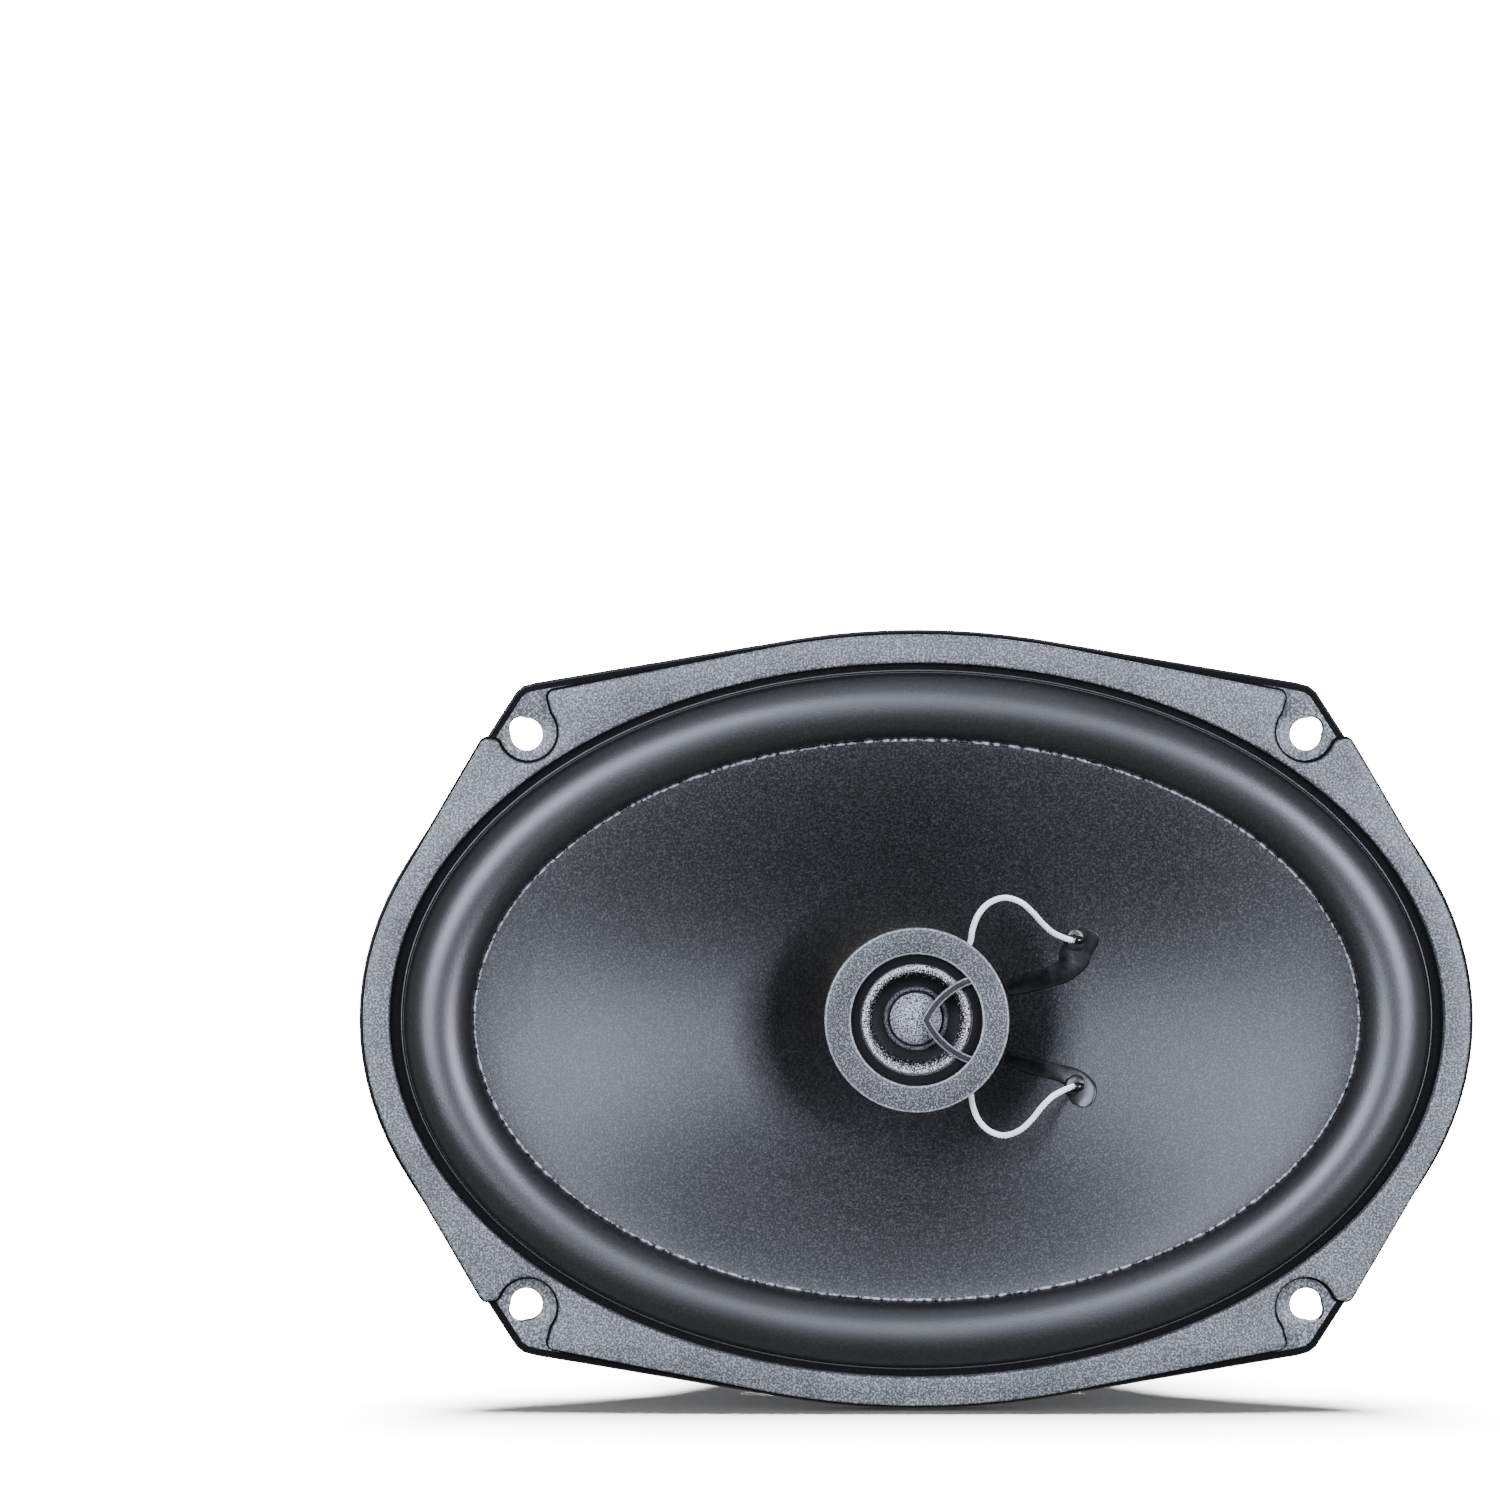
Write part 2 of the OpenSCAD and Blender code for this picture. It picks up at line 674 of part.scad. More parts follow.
module lead_eyelets() {
    bore = 0.95;
    flange_r = eyelet_flange_r;
    front = 0.15;
    back = -1.05;
    lip = 0.35;
    color([0.75, 0.6, 0.3]) for (side = [-1, 1]) eyelet_place(side) turned_body([
        [bore, back - lip], [flange_r, back - lip], [flange_r, back], [eyelet_r, back], [eyelet_r, front],
        [flange_r, front], [flange_r, front + lip], [bore, front + lip]
    ]);
}

// A low bead on the cone along a path of [x, y, half width], open round the eyelet.
module glue_strip(path) {
    lift = 0.2;
    edge = 0.06;
    parts = 4;
    fine = concat(
        [for (i = [0:len(path) - 2], k = [0:parts - 1]) path[i] + (path[i + 1] - path[i]) * k / parts],
        [path[len(path) - 1]]
    );
    n = len(fine);
    spot = [for (p = fine) [p[0], p[1]]];
    rings = [for (i = [0:n - 1])
        let (
            ahead = unit(spot[min(i + 1, n - 1)] - spot[max(i - 1, 0)]),
            across = [ahead[1], -ahead[0]] * fine[i][2],
            height = glue_height * min(1, fine[i][2]),
            row = [for (c = [-1:0.5:1]) let (p = spot[i] + across * c)
                [p[0], p[1], cone_z(p[0], p[1]) + lift]]
        )
        concat(
            [for (k = [0:4]) let (c = (k - 2) / 2) row[k] + [0, 0, edge + height * (1 - c * c)]],
            turned(row)
        )];
    difference() {
        skin(rings);
        translate([eyelet_at[0], eyelet_at[1], -30]) cylinder(r = eyelet_flange_r + 0.4, h = 40);
    }
}

module lead_glue_upper() {
    color([0.04, 0.04, 0.04]) glue_strip(glue_upper);
}

module lead_glue_lower() {
    color([0.04, 0.04, 0.04]) mirror([0, 1, 0]) glue_strip(glue_lower);
}

module tweeter_lead_upper() {
    color([0.9, 0.9, 0.88]) wire(tweeter_route, tweeter_lead_r);
}

module tweeter_lead_lower() {
    color([0.9, 0.9, 0.88]) wire(lower(tweeter_route), tweeter_lead_r);
}

module terminal_lead_upper() {
    color([0.75, 0.55, 0.4]) wire(terminal_route, terminal_lead_r);
}

module terminal_lead_lower() {
    color([0.75, 0.55, 0.4]) wire(lower(terminal_route), terminal_lead_r);
}

module terminal_board() {
    color([0.35, 0.22, 0.12]) difference() {
        translate([board_from, -board_half, board_front - board_thickness])
            cube([board_to - board_from, 2 * board_half, board_thickness]);
        translate([board_rivet_x, 0, board_front - 5]) cylinder(r = board_rivet_r + 0.05, h = 10);
        for (side = [-1, 1]) translate([board_rivet_x, side * terminal_y, board_front - 5])
            cylinder(r = small_rivet_r + 0.05, h = 10);
    }
}

// A flat push-on blade with a riveted foot.
module terminal(width, side) {
    foot_length = 10;
    foot = 6;
    blade_from = board_to - 4;
    shoulder = blade_end - 1;
    detent_r = 0.8;
    color([0.8, 0.78, 0.7]) difference() {
        translate([0, side * terminal_y, board_front]) linear_extrude(blade_thickness) {
            translate([board_from + 1, -foot / 2]) square([foot_length, foot]);
            polygon([
                [blade_from, -width / 2], [shoulder, -width / 2], [blade_end, 1 - width / 2],
                [blade_end, width / 2 - 1], [shoulder, width / 2], [blade_from, width / 2]
            ]);
        }
        translate([board_rivet_x, side * terminal_y, board_front - 5])
            cylinder(r = small_rivet_r + 0.05, h = 10);
        translate([blade_end - 4, side * terminal_y, board_front - 5]) cylinder(r = detent_r, h = 10);
    }
}

module terminal_positive() {
    terminal(6.3, 1);
}

module terminal_negative() {
    terminal(4.8, -1);
}

module rivet(r, from, to) {
    head = 0.8;
    union() {
        translate([0, 0, from]) cylinder(r = r, h = to - from);
        translate([0, 0, from - head]) cylinder(r = 1.8 * r, h = head);
        translate([0, 0, to]) cylinder(r = 1.8 * r, h = head);
    }
}

module terminal_rivets() {
    color([0.75, 0.76, 0.78]) for (side = [-1, 1]) translate([board_rivet_x, side * terminal_y, 0])
        rivet(small_rivet_r, board_front - board_thickness, board_front + blade_thickness);
}

module terminal_board_rivet() {
    color([0.75, 0.76, 0.78]) translate([board_rivet_x, 0, 0])
        rivet(board_rivet_r, board_front - board_thickness, board_front + sheet);
}

module solder_joints() {
    end = terminal_route[len(terminal_route) - 1];
    color([0.8, 0.8, 0.82]) for (side = [-1, 1])
        translate([end[0] + 1, side * terminal_y, board_front + blade_thickness])
            turned_body([[0, 0], [1.5, 0], [1.2, 0.9], [0.5, 1.4], [0, 1.5]]);
}

upright() basket();
upright() rear_gasket();
upright() trim_ring();
upright() surround();
upright() cone();
upright() cone_edge_glue();
upright() spider();
upright() voice_coil_former();
upright() voice_coil_winding();
upright() top_plate();
upright() magnet();
upright() back_plate();
upright() plate_rivets();
upright() tweeter_post();
upright() post_screw();
upright() post_washer();
upright() tweeter_housing();
upright() tweeter_bezel();
upright() tweeter_clamp_ring();
upright() tweeter_diaphragm();
upright() tweeter_voice_coil();
upright() tweeter_pole_plate();
upright() tweeter_magnet();
upright() tweeter_yoke();
upright() tweeter_felt();
upright() crossover_capacitor();
upright() lead_eyelets();
upright() lead_glue_upper();
upright() lead_glue_lower();
upright() tweeter_lead_upper();
upright() tweeter_lead_lower();
upright() terminal_lead_upper();
upright() terminal_lead_lower();
upright() terminal_board();
upright() terminal_positive();
upright() terminal_negative();
upright() terminal_rivets();
upright() terminal_board_rivet();
upright() solder_joints();
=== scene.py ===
"""The looks of a coaxial car speaker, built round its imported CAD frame.

Lengths are in millimetres on the speaker's own axis: x along the long side, y up, z out of the cone.
row() turns them into the frame's metres.
"""
import math

import bmesh
import bpy
import numpy as np
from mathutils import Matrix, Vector
from mathutils.geometry import tessellate_polygon


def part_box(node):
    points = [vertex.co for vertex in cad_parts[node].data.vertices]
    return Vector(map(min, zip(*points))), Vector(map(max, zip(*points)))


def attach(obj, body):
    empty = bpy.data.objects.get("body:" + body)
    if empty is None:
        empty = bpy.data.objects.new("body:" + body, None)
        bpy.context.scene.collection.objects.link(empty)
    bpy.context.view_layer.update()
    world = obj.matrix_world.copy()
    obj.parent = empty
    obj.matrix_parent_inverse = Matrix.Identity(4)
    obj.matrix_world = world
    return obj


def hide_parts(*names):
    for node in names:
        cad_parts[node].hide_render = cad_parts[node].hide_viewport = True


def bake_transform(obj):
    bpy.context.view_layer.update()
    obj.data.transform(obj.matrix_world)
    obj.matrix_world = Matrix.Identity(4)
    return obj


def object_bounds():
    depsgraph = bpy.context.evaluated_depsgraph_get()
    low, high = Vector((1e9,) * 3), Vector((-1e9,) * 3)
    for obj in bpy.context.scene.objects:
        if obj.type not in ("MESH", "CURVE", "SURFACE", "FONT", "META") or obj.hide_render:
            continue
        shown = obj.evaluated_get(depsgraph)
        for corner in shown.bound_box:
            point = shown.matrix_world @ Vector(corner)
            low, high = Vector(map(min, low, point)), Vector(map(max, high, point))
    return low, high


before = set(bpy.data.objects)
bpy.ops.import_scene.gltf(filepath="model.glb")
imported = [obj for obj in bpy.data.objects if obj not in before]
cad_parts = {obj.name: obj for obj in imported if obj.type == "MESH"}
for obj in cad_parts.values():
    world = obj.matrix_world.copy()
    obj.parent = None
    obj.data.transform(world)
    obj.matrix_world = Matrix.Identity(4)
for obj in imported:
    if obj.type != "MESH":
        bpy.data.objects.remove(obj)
cad_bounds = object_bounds()

MM = 0.001
ROUND_STEPS = 192
OVAL_STEPS = 288
WHOLE_TURN = 2 * math.pi

# The range that random phases are drawn from.
PHASES = 6.28

# Distances in metres under which vertices count as one, and as lying at one height.
WELD = 1e-7
CAD_WELD = 1e-6
SAME_HEIGHT = 5e-6


# ---------------------------------------------------------------- places and shapes

def row(points):
    """Points on the speaker's own axis, in millimetres, as points of the frame, in metres."""
    p = np.asarray(points, float).reshape(-1, 3) * MM
    return np.column_stack([p[:, 0], -p[:, 2], p[:, 1]])


def span(name):
    """The lowest and highest corner of a CAD node, on the speaker's own axis."""
    low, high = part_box(name)
    return np.array([low.x, low.z, -high.y]) / MM, np.array([high.x, high.z, -low.y]) / MM


def smooth_step(t):
    t = np.clip(t, 0, 1)
    return t * t * (3 - 2 * t)


def rounded_line(points, radius, steps=4, closed=False):
    """The same line with each corner replaced by a short curve, in any number of dimensions."""
    points = [np.asarray(p, float) for p in points]
    n = len(points)
    line = []
    for i, p in enumerate(points):
        if not closed and i in (0, n - 1):
            line.append(p)
            continue
        before, after = points[i - 1], points[(i + 1) % n]
        reach_in = min(radius, 0.45 * np.linalg.norm(p - before))
        reach_out = min(radius, 0.45 * np.linalg.norm(after - p))
        start = p + (before - p) * reach_in / np.linalg.norm(before - p)
        end = p + (after - p) * reach_out / np.linalg.norm(after - p)
        for k in range(steps + 1):
            t = k / steps
            line.append((1 - t) ** 2 * start + 2 * t * (1 - t) * p + t * t * end)
    return line


def dense(points, longest):
    """The same line with points added, so that no step is longer than a limit."""
    line = [points[0]]
    for a, b in zip(points[:-1], points[1:]):
        pieces = max(1, math.ceil(np.linalg.norm(b - a) / longest))
        line += [a + (b - a) * (k + 1) / pieces for k in range(pieces)]
    return line


def grid_faces(rows, columns, close_rows=False):
    """Quads of a grid whose columns close round, and whose rows may too."""
    faces = []
    for i in range(rows if close_rows else rows - 1):
        j = (i + 1) % rows
        for k in range(columns):
            m = (k + 1) % columns
            faces.append((i * columns + k, i * columns + m, j * columns + m, j * columns + k))
    return faces


def tube_faces(rows, columns):
    """The quads of a tube of rings, and one flat face at each end."""
    last = (rows - 1) * columns
    ends = [tuple(range(columns))[::-1], tuple(last + k for k in range(columns))]
    return grid_faces(rows, columns) + ends


def ring_points(stations, steps):
    """One oval ring of points for each station of (half length, half height, z)."""
    t = np.linspace(0, WHOLE_TURN, steps, endpoint=False)
    return np.concatenate([np.column_stack([a * np.cos(t), b * np.sin(t), np.full(steps, z)])
                           for a, b, z in stations])


def lathe(stations, steps):
    """A closed section of (half length, half height, z) carried round the axis."""
    return ring_points(stations, steps), grid_faces(len(stations), steps, True)


# ---------------------------------------------------------------- pieces

def settle(obj, material, sharp):
    """Gives a mesh outward normals, its material, and smooth shading up to an angle in degrees."""
    mesh = obj.data
    bm = bmesh.new()
    bm.from_mesh(mesh)
    bmesh.ops.remove_doubles(bm, verts=bm.verts, dist=WELD)
    bmesh.ops.recalc_face_normals(bm, faces=bm.faces)
    bm.to_mesh(mesh)
    bm.free()
    for one in material if isinstance(material, list) else [material]:
        mesh.materials.append(one)
    mesh.polygons.foreach_set("use_smooth", [True] * len(mesh.polygons))
    mesh.set_sharp_from_angle(angle=math.radians(sharp))


def new_mesh(name, points, faces):
    """A mesh from points of the frame, in metres."""
    mesh = bpy.data.meshes.new(name)
    mesh.from_pydata([tuple(p) for p in points], [], faces)
    return mesh


def placed(name, data, location=(0, 0, 0), rotation=(0, 0, 0)):
    """A new object in the scene."""
    obj = bpy.data.objects.new(name, data)
    obj.location = location
    obj.rotation_euler = rotation
    bpy.context.scene.collection.objects.link(obj)
    return obj


def corners_of(obj):
    """A piece's vertices in millimetres, on the frame's axes."""
    return np.array([v.co for v in obj.data.vertices]) / MM


def make(name, points, faces, material, body, slot, stands_for, sharp=40):
    """A new mesh piece from points on the speaker's own axis. A piece that bends has no one body."""
    obj = placed(name, new_mesh(name, row(points), faces))
    settle(obj, material, sharp)
    if body:
        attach(obj, body)
    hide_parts(*stands_for)
    return obj


def joined(parts):
    """Several (points, faces) as one."""
    points, faces, start = [], [], 0
    for p, f in parts:
        points.append(np.asarray(p, float).reshape(-1, 3))
        faces += [tuple(i + start for i in face) for face in f]
        start += len(points[-1])
    return np.concatenate(points), faces


def turned(section, bevel, steps=ROUND_STEPS):
    """A turned body from a closed section of (radius, z), with its corners rounded.
    A section that starts and ends on the axis closes there."""
    on_axis = section[0][0] == 0
    line = rounded_line(section, bevel, 3, closed=not on_axis)
    if on_axis:
        line = line[1:-1]
    points = ring_points([(r, r, z) for r, z in line], steps)
    faces = grid_faces(len(line), steps, close_rows=not on_axis)
    if on_axis:
        points = np.vstack([points, [0, 0, section[0][1]], [0, 0, section[-1][1]]])
        first, last, end = len(points) - 2, len(points) - 1, (len(line) - 1) * steps
        faces += [(first, (k + 1) % steps, k) for k in range(steps)]
        faces += [(last, end + k, end + (k + 1) % steps) for k in range(steps)]
    return points, faces


def moved(shape, by):
    """A shape shifted."""
    points, faces = shape
    return points + np.asarray(by, float), faces


def area_of(loop):
    x, y = loop[:, 0], loop[:, 1]
    return 0.5 * float(np.sum(x * np.roll(y, -1) - y * np.roll(x, -1)))


def outlines(name, z):
    """The closed outlines of a CAD node's flat faces at one height: the outer one, then its holes."""
    bm = bmesh.new()
    bm.from_mesh(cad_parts[name].data)
    bmesh.ops.remove_doubles(bm, verts=bm.verts, dist=CAD_WELD)
    flat = {f for f in bm.faces if all(abs(v.co.y + z * MM) < SAME_HEIGHT for v in f.verts)}
    rim = [e for e in bm.edges if sum(f in flat for f in e.link_faces) == 1]
    loops = []
    while rim:
        edge = rim.pop()
        start, here = edge.verts
        chain = [start, here]
        while here != start:
            edge = next(e for e in here.link_edges if e in rim)
            rim.remove(edge)
            here = edge.other_vert(here)
            chain.append(here)
        loops.append(np.array([(v.co.x / MM, v.co.z / MM) for v in chain[:-1]]))
    bm.free()
    loops.sort(key=lambda loop: -abs(area_of(loop)))
    return [loop if (area_of(loop) > 0) == (i == 0) else loop[::-1] for i, loop in enumerate(loops)]


def inset(loop, by):
    """The loop moved into its material, which lies on its left."""
    ahead = np.roll(loop, -1, axis=0) - loop
    ahead /= np.linalg.norm(ahead, axis=1)[:, None]
    left = np.column_stack([-ahead[:, 1], ahead[:, 0]])
    before = np.roll(left, 1, axis=0)
    mitre = (left + before) / np.maximum(1 + np.sum(left * before, axis=1), 0.4)[:, None]
    return loop + mitre * by


def edge_rim(low, high, bevel, steps=3):
    """(inset, z) down a plate's rounded edge, from its front face to its back one."""
    turns = [math.pi / 2 * k / steps for k in range(steps + 1)]
    front = [(bevel * (1 - math.sin(a)), high - bevel * (1 - math.cos(a))) for a in turns]
    back = [(i, low + high - z) for i, z in reversed(front)]
    return front + back


def plate(loops, rims):
    """A flat plate with holes. Each loop has its own rim of (inset, z), from the front to the back."""
    points, faces, start = [], [], 0
    front, back = [], []
    for loop, rim in zip(loops, rims):
        n = len(loop)
        for by, z in rim:
            ring = inset(loop, by)
            points.append(np.column_stack([ring, np.full(n, z)]))
        for step in range(len(rim) - 1):
            a, b = start + step * n, start + (step + 1) * n
            faces += [(a + k, b + k, b + (k + 1) % n, a + (k + 1) % n) for k in range(n)]
        front.append((start, points[-len(rim)]))
        back.append((start + (len(rim) - 1) * n, points[-1]))
        start += len(rim) * n
    for caps in (front, back):
        index = [first + k for first, ring in caps for k in range(len(ring))]
        flat = [[Vector((x, y, 0)) for x, y, _ in ring] for _, ring in caps]
        faces += [tuple(index[i] for i in face) for face in tessellate_polygon(flat)]
    return np.concatenate(points), faces


def pressed(name, low, high, bevel):
    """A CAD plate again, with rounded edges."""
    loops = outlines(name, high)
    return plate(loops, [edge_rim(low, high, bevel)] * len(loops))


def curve_through(points, per_step):
    """A smooth line through given points (Catmull-Rom)."""
    p = np.asarray(points, float)
    p = np.vstack([2 * p[0] - p[1], p, 2 * p[-1] - p[-2]])
    line = []
    for i in range(1, len(p) - 2):
        for k in range(per_step):
            t = k / per_step
            line.append(0.5 * (2 * p[i] + (p[i + 1] - p[i - 1]) * t
                               + (2 * p[i - 1] - 5 * p[i] + 4 * p[i + 1] - p[i + 2]) * t * t
                               + (3 * p[i] - p[i - 1] - 3 * p[i + 1] + p[i + 2]) * t ** 3))
    line.append(p[-2])
    return np.array(line)


def frames_along(line):
    """A pair of cross directions at each point of a line, turning as little as they can."""
    ahead = np.gradient(line, axis=0)
    ahead /= np.linalg.norm(ahead, axis=1)[:, None]
    across = np.cross(ahead[0], [0.3, 0.2, 0.9])
    pairs = []
    for direction in ahead:
        across = across - direction * np.dot(across, direction)
        across = across / np.linalg.norm(across)
        pairs.append((across, np.cross(direction, across)))
    return pairs


def rope(line, radius, strands, lay, sides=8, slack=0.98):
    """Strands twisted round a line, one turn for each lay of its length."""
    pairs = frames_along(line)
    along = np.concatenate([[0], np.cumsum(np.linalg.norm(np.diff(line, axis=0), axis=1))])
    strand_r = radius * math.sin(math.pi / strands) / (1 + math.sin(math.pi / strands)) * slack
    parts = []
    for s in range(strands):
        rings = []
        for (across, up), centre, d in zip(pairs, line, along):
            a = WHOLE_TURN * (d / lay + s / strands)
            offset = (radius - strand_r) * (math.cos(a) * across + math.sin(a) * up)
            rings.append([centre + offset + strand_r * (math.cos(b) * across + math.sin(b) * up)
                          for b in np.linspace(0, WHOLE_TURN, sides, endpoint=False)])
        parts.append((np.array(rings).reshape(-1, 3), tube_faces(len(rings), sides)))
    return joined(parts)


# ---------------------------------------------------------------- materials

def start_material(name):
    material = bpy.data.materials.new(name)
    material.use_nodes = True
    tree = material.node_tree
    return material, tree, tree.nodes["Principled BSDF"]


def feed(tree, socket, value):
    """Links an input to another socket, or sets its value."""
    if isinstance(value, bpy.types.NodeSocket):
        tree.links.new(value, socket)
    else:
        socket.default_value = value


def node(tree, kind, **inputs):
    """A shader node with its inputs fed by name."""
    made = tree.nodes.new(kind)
    for name, value in inputs.items():
        feed(tree, made.inputs[name], value)
    return made


def grain(tree, size, detail=3.0):
    """Noise whose features are about size millimetres."""
    place = node(tree, "ShaderNodeTexCoord").outputs["Object"]
    noise = node(tree, "ShaderNodeTexNoise", Vector=place, Scale=1 / (size * MM), Detail=detail)
    return noise.outputs["Fac"]


def ramp(tree, value, low, high, at=(0.35, 0.65)):
    """A colour between two others as value goes between two levels."""
    made = node(tree, "ShaderNodeValToRGB", Fac=value)
    for element, place, colour in zip(made.color_ramp.elements, at, (low, high)):
        element.position = place
        element.color = (*colour, 1)
    return made.outputs["Color"]


def steps_of_colour(tree, value, stops):
    """Colours at several levels of a value, blended between."""
    made = node(tree, "ShaderNodeValToRGB", Fac=value)
    elements = made.color_ramp.elements
    while len(elements) < len(stops):
        elements.new(1.0)
    for element, (place, colour) in zip(elements, stops):
        element.position = place
        element.color = (*colour, 1)
    return made.outputs["Color"]


def combined(tree, operation, a, b, kind="ShaderNodeVectorMath"):
    """A mathematical operation on two sockets or constants."""
    made = tree.nodes.new(kind)
    made.operation = operation
    for socket, value in zip(made.inputs, (a, b)):
        feed(tree, socket, value)
    return made


def level(tree, value, low, high, at=(0.3, 0.7)):
    """A number between two others as value goes between two levels."""
    made = node(tree, "ShaderNodeMapRange", Value=value)
    for name, number in zip(("From Min", "From Max", "To Min", "To Max"), (*at, low, high)):
        made.inputs[name].default_value = number
    return made.outputs["Result"]


def added_bump(tree, shader, heights):
    """Bumps from (height, depth in millimetres) pairs, one on top of the other."""
    normal = None
    for height, depth in heights:
        made = node(tree, "ShaderNodeBump", Height=height, Distance=depth * MM, Strength=1.0)
        if normal:
            tree.links.new(normal, made.inputs["Normal"])
        normal = made.outputs["Normal"]
    tree.links.new(normal, shader.inputs["Normal"])


def speckled(name, dark, light, size, rough, depth, metal=0.0, patch=12.0, patch_tint=0.15,
             specular=0.5, at=(0.35, 0.65)):
    """A surface with a fine grain in colour and height, and slow patches in tone and roughness."""
    material, tree, shader = start_material(name)
    fine = grain(tree, size)
    slow = grain(tree, patch, 2.0)
    colour = ramp(tree, fine, dark, light, at)
    shade = ramp(tree, slow, (1 - patch_tint,) * 3, (1 + patch_tint,) * 3)
    product = combined(tree, "MULTIPLY", colour, shade)
    tree.links.new(product.outputs["Vector"], shader.inputs["Base Color"])
    tree.links.new(level(tree, slow, *rough), shader.inputs["Roughness"])
    shader.inputs["Metallic"].default_value = metal
    shader.inputs["Specular IOR Level"].default_value = specular
    added_bump(tree, shader, [(fine, depth)])
    return material


def grey(value, blue=1.06):
    """A grey that is a little blue; blue=1 is neutral."""
    return (value, value * (1 + 0.27 * (blue - 1)), value * blue)


moulded = speckled("moulded_plastic", grey(0.035), grey(0.25), 0.39, (0.4, 0.48), 0.05, at=(0.46, 0.69))
flange_paint = speckled("flange_paint", grey(0.035), grey(0.28), 0.41, (0.34, 0.44), 0.06, at=(0.46, 0.69))
bezel_plastic = speckled("bezel_plastic", grey(0.015), grey(0.22), 0.37, (0.4, 0.48), 0.05, at=(0.48, 0.68))
# A lighter copy of the bezel plastic for its rounded rim: painted highlight.
bezel_rim_highlight = speckled("bezel_rim_highlight", grey(0.08), grey(0.34), 0.37, (0.36, 0.44), 0.02)
# A darker copy of the bezel's plastic for the guard's front face: painted shade.
guard_front_shaded = speckled("guard_front_shaded", grey(0.006), grey(0.03), 0.26, (0.4, 0.5), 0.01, specular=0.15)
# A lighter copy of the same plastic for the guard's chamfers: painted highlight.
guard_chamfer_highlight = speckled("guard_chamfer_highlight", grey(0.08), grey(0.3), 0.26, (0.34, 0.4), 0.01)
black_paint = speckled("black_paint", grey(0.004), grey(0.008), 1.4, (0.28, 0.36), 0.012)
cone_skin = speckled("cone_skin", grey(0.006), grey(0.058), 0.4, (0.44, 0.47), 0.04, patch=40.0,
                     patch_tint=0.06, at=(0.46, 0.74))
rubber = speckled("rubber", grey(0.001), grey(0.012), 0.4, (0.4, 0.44), 0.03, specular=0.82, patch=30.0,
                  at=(0.46, 0.74))
# A dull black that takes almost no light, laid where shade falls: painted shade in seams, grooves, recesses
# and on shadowed sides.
painted_shade_black = speckled("painted_shade_black", grey(0.001), grey(0.003), 0.6, (0.7, 0.8), 0.01, specular=0.08)
foam = speckled("foam", grey(0.01), grey(0.035), 0.7, (0.85, 0.95), 0.12)
black_plastic = speckled("black_plastic", grey(0.006), grey(0.014), 0.5, (0.4, 0.5), 0.012)
clamp_plastic = speckled("clamp_plastic", grey(0.003), grey(0.006), 0.5, (0.6, 0.7), 0.008, specular=0.06)
glue_black = speckled("black_glue", grey(0.004), grey(0.012), 2.0, (0.3, 0.38), 0.06)
drop_black = speckled("black_drop", grey(0.002), grey(0.004), 2.0, (0.07, 0.12), 0.02)
steel = speckled("plated_steel", grey(0.44, 1.0), grey(0.6, 1.0), 0.6, (0.33, 0.37), 0.008, metal=1.0,
                 patch=40.0, patch_tint=0.05)
rivet_steel = speckled("rivet_steel", grey(0.45, 1.0), grey(0.6, 1.0), 0.7, (0.2, 0.34), 0.01, metal=1.0,
                       patch=3.0)
nickel = speckled("nickel", (0.5, 0.48, 0.44), (0.62, 0.6, 0.55), 0.8, (0.14, 0.26), 0.004, metal=1.0)
ferrite = speckled("ferrite", grey(0.022, 1.05), grey(0.05, 1.05), 0.9, (0.5, 0.7), 0.05, patch=5.0)
copper = speckled("copper", (0.5, 0.2, 0.09), (0.62, 0.28, 0.12), 0.3, (0.25, 0.35), 0.03, metal=1.0)
former_film = speckled("former_film", (0.4, 0.34, 0.22), (0.5, 0.44, 0.3), 0.8, (0.35, 0.45), 0.006)
tin = speckled("tinned_brass", (0.58, 0.55, 0.46), (0.7, 0.68, 0.6), 1.0, (0.25, 0.38), 0.006, metal=1.0)
solder = speckled("solder", grey(0.5, 1.0), grey(0.66, 1.0), 0.9, (0.16, 0.3), 0.02, metal=1.0)
braid = speckled("lead_braid", grey(0.8, 1.0), grey(0.95, 1.0), 0.25, (0.4, 0.55), 0.02)
tinsel = speckled("tinsel", (0.6, 0.36, 0.22), (0.75, 0.5, 0.34), 0.25, (0.3, 0.4), 0.02, metal=0.8)
board_brown = speckled("board_brown", (0.09, 0.035, 0.014), (0.14, 0.06, 0.025), 0.5, (0.35, 0.5), 0.01)
felt_grey = speckled("felt_grey", grey(0.02), grey(0.06), 0.35, (0.9, 0.98), 0.15)
sleeve_blue = speckled("sleeve_blue", (0.008, 0.012, 0.05), (0.014, 0.02, 0.08), 1.0, (0.15, 0.22), 0.004)


